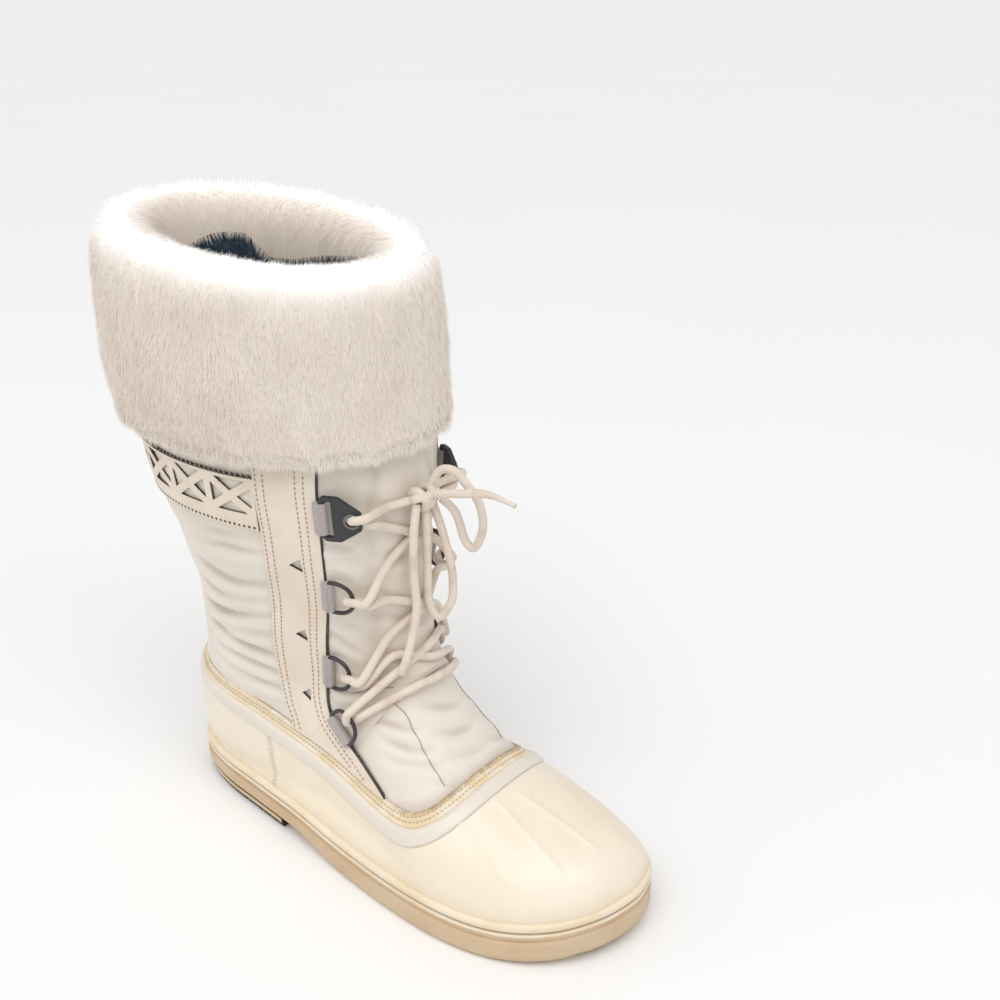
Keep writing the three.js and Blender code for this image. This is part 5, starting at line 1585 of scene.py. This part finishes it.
def build_band():
    """The band of crossed bars with its pinked dark edge and its row of punched dots."""
    run, turns = band_turns()
    length = run[-1]
    pinks = int(length / 1.5)
    s = np.linspace(0, length, pinks)
    tooth = np.arange(pinks) % 2
    low = np.stack([s, BAND_BOTTOM + 0.5 * tooth], -1)
    top = np.stack([s[::-1], BAND_BOTTOM + BAND_HEIGHT - 0.9 * tooth], -1)
    flat, faces = flat_sheet(np.concatenate([low, top]), lattice_holes(length / LATTICE_CELLS), 3.2)

    def lay(flat, lift=0.0):
        points, normals = FIND.round(np.interp(flat[:, 0], run, turns), flat[:, 1])
        return points + normals * lift, normals

    surface = CLEARANCE + OVERLAY
    points, quads, marks = thick_sheet(*lay(flat), faces, CLEARANCE, surface - 0.2, 0.25)
    # The dark finish on the lower side walls: painted shade on the walls of the holes, and the band's dark
    # edge along its outline.
    both = [finish("leather"), finish("dark_edge")]
    new_piece("lattice_leather", points, quads, both, ["lattice_band"], "leather", 50, indexes=marks)
    steps = np.arange(2 * int(length / 1.6))
    rise = BAND_BOTTOM + BAND_HEIGHT - 1.1 + 0.55 * (steps % 2)
    zigzag = np.stack([np.linspace(0, length, len(steps)), rise], -1)
    parts = [tube(lay(zigzag, surface - 0.2)[0], 0.42, 5)]
    turn, sides = full_turn(8), 8
    faces = grid_faces(2, sides, True).tolist()
    faces += [[sides + k, 2 * sides, sides + (k + 1) % sides] for k in range(sides)]
    for s in np.arange(1.5, length - 1, DOT_PITCH):
        middle = np.array([[s, BAND_BOTTOM + DOT_RISE]])
        ring = middle + DOT_RADIUS * np.stack([np.cos(turn), np.sin(turn)], -1)
        lifts = ((ring, -0.35), (ring, -0.1), (middle, -0.06))
        parts.append((np.concatenate([lay(some, surface + lift)[0] for some, lift in lifts]), faces))
    new_piece("lattice_edging", *joined(parts), finish("dark_edge"), slot="leather")


# The cuff
def leg_place(z):
    heights = LEG["height"] * LEG_HEIGHT
    steps = np.linspace(2, len(heights) - 1, 200)
    return FIRST_LEG + np.interp(z, blend_between(heights, steps), steps)


# Where the fur inside gives way to the dark fleece: rows of the cuff's section, by degrees round the leg.
FUR_EDGE = table(
    "degrees step",
    (0, 9.3), (28, 9.1), (46, 9.1), (53, 9.3), (60, 9.55), (75, 9.5), (90, 9.3), (120, 8.95), (150, 8.8),
    (185, 9.2), (270, 9.5), (330, 9.3), (360, 9.3),
)


def fur_edge(angles):
    degrees = np.degrees(angles) % 360
    return np.interp(degrees, FUR_EDGE["degrees"], FUR_EDGE["step"])


def lock_relief(angles, step):
    """The fur's soft locks, longer than wide."""
    total = 0.5 * np.sin(19 * angles + 1.9 * np.sin(1.7 * step + 0.6) + 0.8 * np.sin(5 * angles))
    total += 0.35 * np.sin(31 * angles - 2.1 * step + 1.3 * np.sin(3 * angles + step))
    return total + 0.4 * np.sin(11 * angles + 3.2 * step + np.sin(4 * angles))


def cuff_points(angles, step, locks=0.0):
    """The cuff's surface: angles round the leg, step counts the section's rows from its foot inwards."""
    angles, step = matched(angles, step)
    ease_gap = 0.6
    outside = OVERLAY + CLEARANCE + ease_gap + CUFF_PILE * CUFF["outset"]
    inner = -UPPER_WALL - 2 * ease_gap - FACING_PILE * FACING["outset"]
    reach = blend_between(np.concatenate([outside, inner]), step)
    share = blend_between(np.concatenate([CUFF["share"], FACING["share"]]), step)
    relief = locks * lock_relief(angles, step)
    reach = reach + relief * np.where(step < 7, 1.0, -0.5)
    low = 1 - ease((step - 0.5) / 2.8)
    z = CUFF_BOTTOM + share * (CUFF_RIM - CUFF_BOTTOM)
    z = z + low * (11.5 + 2.2 * locks * np.sin(23 * angles + 2 * np.sin(6 * angles)))
    place = leg_place(np.maximum(z, 214))
    base, normal = skin(place, angles)
    level = unit(normal * [1, 1, 0])
    points = base + level * reach[..., None]
    points[..., 2] = z + RIM_TILT * np.clip(share, 0, 1) * ((SHIN_DISTANCE / 2 - points[..., 0]) / LEG_DEPTH)
    return points


def cuff_frame(angles, step, locks):
    """Point, outward normal and the way along the section on the cuff's surface."""
    here = cuff_points(angles, step, locks)
    on = cuff_points(angles, step + 0.05, locks) - cuff_points(angles, step - 0.05, locks)
    across = cuff_points(angles + 0.01, step, locks) - cuff_points(angles - 0.01, step, locks)
    return here, unit(np.cross(on, across)), unit(on)


def swirl(angles, steps, seed):
    """Slow changes over the cuff, from -1 to 1."""
    a = np.sin(angles * 7 + 2.2 * np.sin(steps * 1.3 + seed) + seed)
    b = np.sin(angles * 17 + steps * 2.1 + 1.7 * np.sin(angles * 5 + seed * 2))
    c = np.sin(angles * 41 + 3.1 * np.sin(steps * 4 + seed))
    return 0.5 * a + 0.3 * b + 0.2 * c


FUR_ROOT = 4.6
LOCK_SIZE = 0.55
FUR_PARTS = 4


def rim_highlight(steps):
    """Where the painted highlight lies: 1 along the fur's rim, fading to both sides."""
    return np.exp(-(((steps - 6.8) / 0.88) ** 2))


def fur_depth(steps):
    """How deep the hairs are rooted under the pile's surface, deepest at the rim."""
    return FUR_ROOT + 3.0 * np.exp(-(((steps - 6.9) / 1.0) ** 2))


def build_hairs():
    """Thin tapering hairs all over the cuff, in a few meshes."""
    draw = np.random.default_rng(3)
    count = sizes().hairs * FUR_PARTS
    length = sizes().fur_length * 1000
    around, high = 240, 240
    grid_a = ring_angles(around)
    grid_s = np.linspace(0.7, 9.6, high)
    surface = cuff_points(grid_a[None, :], grid_s[:, None])
    tall = np.linalg.norm(np.diff(surface, axis=0), axis=-1)
    wide = np.linalg.norm(np.roll(surface, -1, 1) - surface, axis=-1)[:-1]
    weight = (tall * wide * (grid_s[:-1, None] < fur_edge(grid_a)[None, :])).ravel()
    cells = draw.choice(len(weight), size=count, p=weight / weight.sum())
    angles = grid_a[cells % around] + (draw.random(count) - 0.5) * 2 * math.pi / around
    steps = grid_s[cells // around] + draw.random(count) * (grid_s[1] - grid_s[0])
    here, normal, on = cuff_frame(angles, steps, LOCK_SIZE)
    # Hairs hang towards the foot outside and into the boot inside, and part at the rim.
    over = ease((steps - 6.0) / 1.0)[:, None]
    hang = -on * (1 - over) + on * over
    under = ease((2.0 - steps) / 0.7)[:, None]
    hang = hang * (1 - under) + np.array([0.0, 0.0, -1.0]) * under
    sideways = np.cross(normal, hang)
    flow = swirl(angles, steps, 3)[:, None]
    tuft = swirl(angles * 2, steps * 3.1, 7)[:, None]
    loose = draw.normal(size=(count, 3))
    lay = unit(hang + sideways * (0.4 * flow + 0.12 * tuft) + normal * (0.36 + 0.05 * tuft) + 0.1 * loose)
    tall = length * (0.8 + 0.3 * draw.random((count, 1))) * (1 + 0.06 * tuft)
    tall *= 0.6 + 0.4 * ease((steps[:, None] - 0.6) / 1.6)
    root = here - normal * fur_depth(steps)[:, None]
    spots = [root]
    for part in (0.5, 1.0):
        way = unit(normal * (1.05 - 0.75 * part) + lay * (0.35 + 0.65 * part))
        spots.append(root + way * tall * part)
    ahead = unit(spots[2] - spots[1])
    flat = unit(np.cross(ahead, normal) + 1e-6)
    turn = (draw.random((count, 1)) - 0.5) * 1.3
    face = flat * np.cos(turn) + np.cross(ahead, flat) * np.sin(turn)
    width = sizes().fur_width * 1000 * (0.75 + 0.5 * draw.random((count, 1)))
    rows = []
    for spot, share in zip(spots[:2], (1.0, 0.9)):
        rows += [spot - face * width * share / 2, spot + face * width * share / 2]
    points = np.stack([*rows, spots[2]], 1)
    tone = np.clip(0.5 + 0.2 * draw.normal(size=count) + 0.12 * tuft[:, 0], 0, 1)
    shown = unit(normal + 0.15 * lay + 0.03 * loose)
    number = count // FUR_PARTS
    base = np.arange(number)[:, None] * 5
    faces = (base + [0, 1, 3, 2]).tolist() + (base + [2, 3, 4]).tolist()
    for k in range(FUR_PARTS):
        some = slice(k * number, (k + 1) * number)
        # tip is 0 at a hair's root, where the finish paints shade; rim places the painted highlight and glow.
        piece = new_piece(
            f"cuff_fur_{k + 1}", points[some], faces, finish("fur"), slot="fur",
            values={
                "tip": np.tile([0, 0, 0.6, 0.6, 1.0], number), "tone": np.repeat(tone[some], 5),
                "rim": np.repeat(rim_highlight(steps[some]), 5),
            },
        )
        piece.data.normals_split_custom_set_from_vertices(np.repeat(shown[some], 5, 0).tolist())


def build_cuff():
    """The fur's pelt, the dark fleece below it inside, and the hairs."""
    rows, count = 110, 220
    angles = ring_angles(count)[None, :]
    first = 0.3
    steps = first + (fur_edge(angles) + 0.1 - first) * np.linspace(0, 1, rows)[:, None]
    here, normal, _ = cuff_frame(angles, steps, LOCK_SIZE)
    points, faces = here - normal * (fur_depth(steps) - 2.3)[..., None], grid_faces(rows, count, True)
    values = {"rim": rim_highlight(steps)}
    new_piece("cuff_pelt", points, faces, finish("pelt"), ["fur_cuff"], "fur", values=values)
    rows = 60
    share = np.linspace(0, 1, rows)[:, None]
    edge = fur_edge(angles) - 0.15
    steps = edge + (12 - edge) * share
    here, normal, _ = cuff_frame(angles, steps, 0.0)
    wave = 0.7 * np.sin(angles * 9 + steps * 5) + 0.5 * np.sin(angles * 23 - steps * 9)
    points = here - normal * (5.6 - 3.4 * ease(share * 5) - wave * ease(share * 5))[..., None]
    new_piece("fleece_top", points, grid_faces(rows, count, True), finish("fleece"), slot="felt")
    build_hairs()


# Lacing hardware
def edge_frame(z, side):
    """A frame on the throat's edge: reach over the tongue, up along the edge, out from the boot."""
    def at(dx, dz):
        return FIND.side(edge_x("front", z + dz) + dx, z + dz, side)[0]

    middle = at(0, 0)
    up = unit(at(0, 6) - at(0, -6))
    reach = unit(middle - at(-6, 0))
    out = unit(np.cross(reach, up)) * (1 if side < 0 else -1)
    level = unit(np.cross(up, out)) * (1 if side < 0 else -1)
    return middle, level, up, out


def tilted(reach, lift):
    """How high the rings and plates stand: the lace draws their outer ends up a little."""
    return lift + 0.18 * np.maximum(np.asarray(reach, float) - BAR_REACH, 0)


def in_frame(where, reach, up, out):
    """Points of a frame on the throat's edge."""
    middle, level, upward, outward = where
    reach, up, out = (np.asarray(v, float)[..., None] for v in (reach, up, out))
    return middle + level * reach + upward * up + outward * out


def ring_line():
    """The D-ring's own line: a straight bar and a bow."""
    half = RING_HEIGHT / 2 - WIRE_RADIUS
    bow = np.linspace(0.46 * math.pi, -0.46 * math.pi, 30)
    reach = BAR_REACH + (BOW_REACH - BAR_REACH) * np.cos(bow) ** 0.72
    up = half * np.sign(bow) * np.abs(np.sin(bow)) ** 0.85
    bar = np.linspace(-half + 0.6, half - 0.6, 10)
    return np.concatenate([np.stack([np.full(10, BAR_REACH), bar], -1), np.stack([reach, up], -1)])


def tab_piece(where, thickness):
    """A webbing tab folded round a bar."""
    outer = thickness / 2 + 0.95
    turn = np.linspace(-RIGHT_ANGLE, RIGHT_ANGLE, 9)
    # The tab in section: reach, and height over the bar.
    fold = [(BAR_REACH + outer * math.cos(t), outer * math.sin(t)) for t in turn]
    back = [
        (BAR_REACH - 0.3, outer - 0.15), (BAR_REACH - 0.9, outer + 0.35), (BAR_REACH - 1.6, outer + 0.35),
        (BAR_REACH - 2.1, outer - 0.5), (CLEARANCE - 0.6, outer - 1.0), (CLEARANCE - 1.8, outer - 2.0),
    ]
    profile = np.array([(CLEARANCE - 1.8, 0.3 - outer), *fold, *back]) + [0, HARDWARE_LIFT]
    centre = profile.mean(0)
    end = TAB_LENGTH / 2 + 0.9
    ends = ((0, 0.86), (0.25, 0.97), (0.8, 1))
    levels = [(near - end, size) for near, size in ends] + [(end - near, size) for near, size in ends[::-1]]
    rows = []
    for up, size in levels:
        shape = centre + (profile - centre) * size
        rows.append(in_frame(where, shape[:, 0], np.full(len(shape), up), shape[:, 1]))
    count = len(profile)
    faces = grid_faces(len(rows), count, True).tolist()
    faces.append(list(range(count))[::-1])
    faces.append([(len(rows) - 1) * count + k for k in range(count)])
    return np.concatenate(rows), faces


def rounded(corners, radius):
    """A flat outline with its corners rounded."""
    corners = np.array(corners, float)
    points = []
    for before, here, after in zip(np.roll(corners, 1, 0), corners, np.roll(corners, -1, 0)):
        a, b = unit(before - here), unit(after - here)
        cut_a = min(radius, np.linalg.norm(before - here) * 0.45)
        cut_b = min(radius, np.linalg.norm(after - here) * 0.45)
        for t in (0, 0.25, 0.5, 0.75, 1):
            points.append(here + a * cut_a * (1 - t) ** 2 + b * cut_b * t**2)
    return np.array(points)


def plate_sheet():
    """The top plate flat: its outline with a slot for the tab and a hole for the lace."""
    half, bar = PLATE_HEIGHT / 2, BAR_REACH
    outline = rounded([
        (bar - PLATE_BAR / 2, -half + 2), (bar + 1, -half), (bar + 8, -half), (PLATE_NOSE, -half * 0.38),
        (PLATE_NOSE, half * 0.38), (bar + 8, half), (bar + 1, half), (bar - PLATE_BAR / 2, half - 2),
    ], 0.9)
    low, tall = bar + PLATE_BAR / 2, TAB_LENGTH / 2 + 2
    slot = rounded([(low, -tall), (low, tall), (low + 3.4, tall), (low + 3.4, -tall)], 0.5)
    turn = full_turn(24)
    hole = np.stack([PLATE_EYE + LACE_HOLE * np.cos(turn), LACE_HOLE * np.sin(turn)], -1)
    return flat_sheet(outline, [slot, hole], 1.6)


def build_hardware():
    """The D-rings and top plates on their webbing tabs, and the plates' eyelets."""
    eyelets = []
    turn, half = full_turn(24), PLATE_THICKNESS / 2
    for side, label in ((-1, "lateral"), (1, "medial")):
        for k, z in enumerate(RING_LEVELS, 1):
            where = edge_frame(z, side)
            line = ring_line()
            path = in_frame(where, line[:, 0], line[:, 1], tilted(line[:, 0], HARDWARE_LIFT))
            ring = tube(resample(path, count=64, closed=True), sizes().ring_wire * 500, 12, True)
            new_piece(f"ring_{label}_{k}", *ring, finish("metal"), [f"d_ring_{label}_{k}"], "ring_metal")
            tab, node = tab_piece(where, 2 * WIRE_RADIUS), f"ring_tab_{label}_{k}"
            new_piece(f"webbing_{label}_{k}", *tab, finish("webbing"), [node], "webbing", 50)
        where = edge_frame(PLATE_LEVEL, side)
        flat, faces = plate_sheet()
        base = in_frame(where, flat[:, 0], flat[:, 1], tilted(flat[:, 0], 0))
        out = np.broadcast_to(where[3], base.shape)
        points, quads, _ = thick_sheet(base, out, faces, HARDWARE_LIFT - half, HARDWARE_LIFT + half, 0.4)
        if side > 0:
            quads = [q[::-1] for q in quads]
        node = f"lace_plate_{label}"
        new_piece(f"plate_{label}", points, quads, finish("plastic"), [node], "plate_plastic", 50)
        reach = PLATE_EYE + EYELET * np.cos(turn)
        line = in_frame(where, reach, EYELET * np.sin(turn), tilted(reach, HARDWARE_LIFT + half))
        eyelets.append(tube(line, 0.62, 8, True))
        tab, node = tab_piece(where, PLATE_BAR * 1.2), f"plate_tab_{label}"
        new_piece(f"plate_webbing_{label}", *tab, finish("webbing"), [node], "webbing", 50)
    new_piece("plate_eyelets", *joined(eyelets), finish("eyelet"), slot="ring_metal")


# The lace
DOWN_RUN = ((0.622, 0.593, 0.56), (0.5, 0.463, 0.43), (0.392, 0.373, 0.353), (0.331, 0.343, 0.337))
UP_RUN = ((0.367, 0.393, 0.39), (0.435, 0.47, 0.495), (0.56, 0.598, 0.633))
STRAND_SPREAD = 15.0
HIGH_LOOP = (
    (0.5, 3, 3.5), (5.4, 6, 12.8), (12.3, 8, 13.9), (17.1, 10, 8.5), (22.8, 13, -1.1), (23.3, 15, -14.5),
    (18.1, 15, -26.4), (13.7, 13, -22.8), (11.1, 10, -8.5), (5, 7, -1.5),
)
LOW_LOOP = (
    (2, 4, -3.5), (4, 6.5, -14.5), (6.5, 8, -26.5), (8.5, 9, -38.2), (8.9, 9, -46.7), (8.5, 8, -55.5),
    (5, 3, -63), (2.5, -1, -54), (2, -1, -32.8), (1.8, -0.5, -14.5), (1, 0, -3.5),
)
FREE_END = ((2.5, 1, 2), (10.5, 2, 4), (20.2, 3.5, 6), (34.3, 6, 8.5), (48.5, 8, 6))
HANGING_END = (
    (0.5, -5, -1.5), (1.3, -8.5, -12.5), (1.3, -9.5, -24.5), (1.5, -10, -37.5), (2, -9.5, -53.5),
    (1.5, -13, -68.5), (1.5, -17, -77.5), (1, -21, -85.5),
)


def front_points(y, z, outset):
    """Points over the boot's front, seen from ahead."""
    points, normals = FIND.front(y, z)
    return points + normals * outset


def lace_turn(side, level):
    """How the lace turns in a ring, or in the top plate's hole."""
    last = level == len(RING_LEVELS)
    where = edge_frame(PLATE_LEVEL if last else RING_LEVELS[level], side)
    if last:
        reach, inner, high = PLATE_EYE, PLATE_EYE + 0.3, LACE_SIZE + PLATE_THICKNESS / 2
    else:
        reach, inner, high = BOW_REACH, BOW_REACH - 3.0, LACE_SIZE + 1.0
    lift = float(tilted(reach, HARDWARE_LIFT))
    apart = 1.9
    rows = (
        (reach + 7.5, apart * 1.3, lift + high * 0.7), (reach + 1.8, apart * 0.9, lift + high),
        (inner, 0.0, lift + 0.2),
        (reach + 1.6, -apart * 0.9, lift - high * 0.95), (reach + 7.5, -apart * 1.3, lift - high * 0.3),
    )
    return [in_frame(where, *row).reshape(3) for row in rows]


def strand(heights, side):
    """One crossing over the tongue, at three heights."""
    y = side * STRAND_SPREAD * np.array([1.0, 0.0, -1.0])
    return list(front_points(y, np.array(heights) * LEG_HEIGHT, STRAND_REST))


def lace_runs():
    """The lace's two runs over the tongue, as in the solids."""
    top = len(RING_LEVELS)

    def to_knot(side):
        return front_points(np.array([side * STRAND_SPREAD]), np.array([KNOT[2] - 1]), STRAND_REST)[0]

    down = [KNOT, to_knot(-1), *lace_turn(-1, top)]
    for k, heights in enumerate(DOWN_RUN):
        side = 1 if k % 2 else -1
        down += strand(heights, side)
        level = top - 1 - k
        down += lace_turn(-side, 0)[::-1][:3] if level < 0 else lace_turn(-side, level)
    up = lace_turn(-1, 0)[:3][::-1]
    for k, heights in enumerate(UP_RUN):
        side = 1 if k % 2 else -1
        up += strand(heights, side) + lace_turn(-side, k + 1)[::-1]
    up += [to_knot(1), KNOT]
    return down, up


def braid_height(run, turn):
    """How high the braid's strands stand, from -1 to 1."""
    return np.maximum(np.cos(5 * turn + run * 2.2), np.cos(5 * turn - run * 2.2))


def braid(run, turn):
    """The braid's relief on the lace."""
    return 0.985 + 0.035 * braid_height(run, turn)


LACE_STEP = 0.7
# The bow's loops and ends: piece, solid, route from the knot, how thin its end is, and what it ends in.
BOW = (
    ("bow_loop_high", "lace_loop_high", HIGH_LOOP, 1.0, "knot"),
    ("bow_loop_low", "lace_loop_low", LOW_LOOP, 1.0, "knot"),
    ("bow_end_free", "lace_end_free", FREE_END, 0.55, "bare"),
    ("bow_end_hanging", "lace_end_hanging", HANGING_END, 1.0, "bare"),
)


def braid_value(run, sides):
    """How high the braid's strands stand at each point of a lace, from 0 to 1."""
    return (0.5 + 0.5 * braid_height(run[:, None], full_turn(sides)[None, :])).ravel()


def lace_mesh(line, thin=1.0, sides=16):
    """One run of lace, thinned towards its end: its line, mesh and braid."""
    fine = resample(line, step=LACE_STEP)
    share = ease((np.linspace(0, 1, len(fine)) - 0.55) / 0.4)
    mesh = tube(fine, LACE_SIZE * (1 - (1 - thin) * share), sides, False, braid)
    return fine, mesh, np.concatenate([braid_value(run_along(fine), sides), [1, 1]])


def knot_lines():
    """The knot: the lace wrapped round the bow's roots, over a short standing turn."""
    turn = full_turn(14)
    cosine, sine = np.cos(turn), np.sin(turn)
    wrap = np.stack([4.2 * cosine, 1.5 + 2.0 * sine, 4.6 * sine], -1)
    cross = np.stack([4.0 * cosine + 0.4, -3.0 - 1.6 * sine, 4.4 * sine], -1)
    band = np.stack([3.0 * cosine + 0.9, 6.4 * sine, 2.2 * np.cos(turn + 0.8)], -1)
    return [KNOT + line for line in (wrap, cross, band)]


def lace_piece(name, mesh, node, values):
    """A piece of lace with its braid."""
    return new_piece(name, *mesh, finish("cord"), [node], "lace_cord", values={"braid": values})


def build_laces():
    """The lace's runs, its bow as four free cords, and its knot."""
    _, meshes, values = zip(*(lace_mesh(line) for line in lace_runs()))
    lace_piece("lace_runs", joined(meshes), "lace_crossings", np.concatenate(values))
    ends = []
    for name, node, route, thin, far in BOW:
        line, mesh, values = lace_mesh(np.array(route) + KNOT, thin)
        length = float(run_along(line)[-1]) * MILLIMETRE
        ends.append((lace_piece(name, mesh, node, values), to_frame(line), length, far))
    parts, values, sides = [], [], 18
    for line in knot_lines():
        fine = resample(line, step=LACE_STEP, closed=True)
        parts.append(tube(fine, LACE_RADIUS * 0.98, sides, True, braid))
        values.append(braid_value(np.arange(len(fine)) * LACE_STEP, sides))
    knot = lace_piece("bow_knot", joined(parts), "lace_knot", np.concatenate(values))
    for k, (piece, path, length, far) in enumerate(ends):
        [knot] if k == 0 else ()


CAMERA_TURN = 39.6
CAMERA_RISE = 24.0
CAMERA_ROLL = -0.6
CAMERA_PLACE = (542.0, -403.0, 442.0)
CAMERA_LENS = 46.83
CAMERA_SHIFT = 0.0015
FLOOR_HALF = 14
LIGHT_AIM = Vector((0.05, 0, 0.15))
# Each light's name, kind, place, width (an angle for the sun) and power.
LIGHTS = (
    ("sky", "SUN", (0.45, -0.9, 2.1), math.radians(50), 1.25),
    ("softbox", "AREA", (0.95, -0.15, 1.25), 0.55, 2.4),
    ("left", "AREA", (-0.9, -1.0, 0.9), 0.8, 2.0),
)
WORLD_POWER = 0.6


def put_in_scene(name, data):
    """A new object in the scene."""
    made = bpy.data.objects.new(name, data)
    bpy.context.scene.collection.objects.link(made)
    return made


def build_floor():
    mesh = bpy.data.meshes.new("floor")
    corners = [(x * FLOOR_HALF, y * FLOOR_HALF, 0) for x, y in ((-1, -1), (1, -1), (1, 1), (-1, 1))]
    mesh.from_pydata(corners, [], [(0, 1, 2, 3)])
    mesh.materials.append(finish("floor"))
    put_in_scene("floor", mesh)


def build_camera():
    turn, rise, roll = (math.radians(v) for v in (CAMERA_TURN, CAMERA_RISE, CAMERA_ROLL))
    back = Vector((math.sin(turn) * math.cos(rise), -math.cos(turn) * math.cos(rise), math.sin(rise)))
    right = Vector((math.cos(turn), math.sin(turn), 0))
    up = back.cross(right)
    right, up = right * math.cos(roll) + up * math.sin(roll), up * math.cos(roll) - right * math.sin(roll)
    lens = bpy.data.cameras.new("camera")
    lens.lens = CAMERA_LENS
    lens.sensor_width = 36
    lens.shift_x = CAMERA_SHIFT
    lens.clip_start = 0.01
    camera = put_in_scene("camera", lens)
    place = Vector(to_frame(np.array(CAMERA_PLACE)))
    camera.matrix_world = Matrix.Translation(place) @ Matrix((right, up, back)).transposed().to_4x4()
    bpy.context.scene.camera = camera


def build_lights():
    for name, kind, spot, size, power in LIGHTS:
        lamp = bpy.data.lights.new(name, kind)
        setattr(lamp, "angle" if kind == "SUN" else "size", size)
        lamp.energy = power
        way = (LIGHT_AIM - Vector(spot)).to_track_quat("-Z", "Y")
        put_in_scene(name, lamp).matrix_world = Matrix.Translation(Vector(spot)) @ way.to_matrix().to_4x4()
    world = bpy.data.worlds.new("studio")
    world.use_nodes = True
    sky = world.node_tree.nodes["Background"]
    sky.inputs[0].default_value = (1, 1, 1, 1)
    sky.inputs[1].default_value = WORLD_POWER
    bpy.context.scene.world = world
    bpy.context.scene.view_settings.view_transform = "Standard"


class BootPiece:
    """What the boot's operators share: each runs its makers in order."""

    bl_options = {"REGISTER", "UNDO"}
    makers = ()

    def execute(self, context):
        for make in self.makers:
            make()
        return {"FINISHED"}


class BOOT_OT_stage(BootPiece, bpy.types.Operator):
    """Add the floor, the camera and the lights"""

    bl_idname = "boot.stage"
    bl_label = "Stage"
    makers = (build_floor, build_camera, build_lights)


class BOOT_OT_laces(BootPiece, bpy.types.Operator):
    """Add the lace with its bow"""

    bl_idname = "boot.laces"
    bl_label = "Lace"
    makers = (build_laces,)


class BOOT_OT_sole(BootPiece, bpy.types.Operator):
    """Add the outsole, the heel tread, the foxing and the footbed"""

    bl_idname = "boot.sole"
    bl_label = "Sole"
    makers = (build_outsole, build_heel_tread, build_foxing, build_insole)


class BOOT_OT_shell(BootPiece, bpy.types.Operator):
    """Add the moulded rubber shell"""

    bl_idname = "boot.shell"
    bl_label = "Shell"
    makers = (build_shell,)


class BOOT_OT_shaft(BootPiece, bpy.types.Operator):
    """Add the shaft's fabric, its lining and the tongue with their seams"""

    bl_idname = "boot.shaft"
    bl_label = "Shaft"
    makers = (build_fabric, build_tongue, build_seams)


class BOOT_OT_trim(BootPiece, bpy.types.Operator):
    """Add the stitched tape over the joint of shell and fabric"""

    bl_idname = "boot.trim"
    bl_label = "Tape"
    makers = (build_trim,)


class BOOT_OT_stays(BootPiece, bpy.types.Operator):
    """Add the leather eyestays with their stitching and piping"""

    bl_idname = "boot.stays"
    bl_label = "Eyestays"
    makers = (build_stays,)


class BOOT_OT_band(BootPiece, bpy.types.Operator):
    """Add the lattice band"""

    bl_idname = "boot.band"
    bl_label = "Lattice band"
    makers = (build_band,)


class BOOT_OT_cuff(BootPiece, bpy.types.Operator):
    """Add the fur cuff"""

    bl_idname = "boot.cuff"
    bl_label = "Fur cuff"
    makers = (build_cuff,)


class BOOT_OT_hardware(BootPiece, bpy.types.Operator):
    """Add the D-rings, the lace plates and their webbing tabs"""

    bl_idname = "boot.hardware"
    bl_label = "Rings and plates"
    makers = (build_hardware,)


OPERATORS = (
    BOOT_OT_stage, BOOT_OT_laces, BOOT_OT_sole, BOOT_OT_shell, BOOT_OT_shaft, BOOT_OT_trim, BOOT_OT_stays,
    BOOT_OT_band, BOOT_OT_cuff, BOOT_OT_hardware,
)


class BOOT_PT_panel(bpy.types.Panel):
    """Sizes, colours and pieces of the boot"""

    bl_label = "Winter Boot"
    bl_idname = "BOOT_PT_panel"
    bl_space_type = "VIEW_3D"
    bl_region_type = "UI"
    bl_category = "Boot"

    def draw(self, context):
        for group in (context.scene.boot_sizes, context.scene.boot_colours):
            box = self.layout.box()
            for name in group.bl_rna.properties.keys():
                if name not in ("rna_type", "name"):
                    box.prop(group, name)
        for operator in OPERATORS:
            self.layout.operator(operator.bl_idname)


CLASSES = (BootSizes, BootColours, *OPERATORS, BOOT_PT_panel)


def register():
    for item in CLASSES:
        bpy.utils.register_class(item)
    bpy.types.Scene.boot_sizes = bpy.props.PointerProperty(type=BootSizes)
    bpy.types.Scene.boot_colours = bpy.props.PointerProperty(type=BootColours)


def unregister():
    del bpy.types.Scene.boot_colours
    del bpy.types.Scene.boot_sizes
    for item in reversed(CLASSES):
        bpy.utils.unregister_class(item)


def main():
    register()
    for operator in OPERATORS:
        group, name = operator.bl_idname.split(".")
        getattr(getattr(bpy.ops, group), name)()


if __name__ == "__main__":
    main()
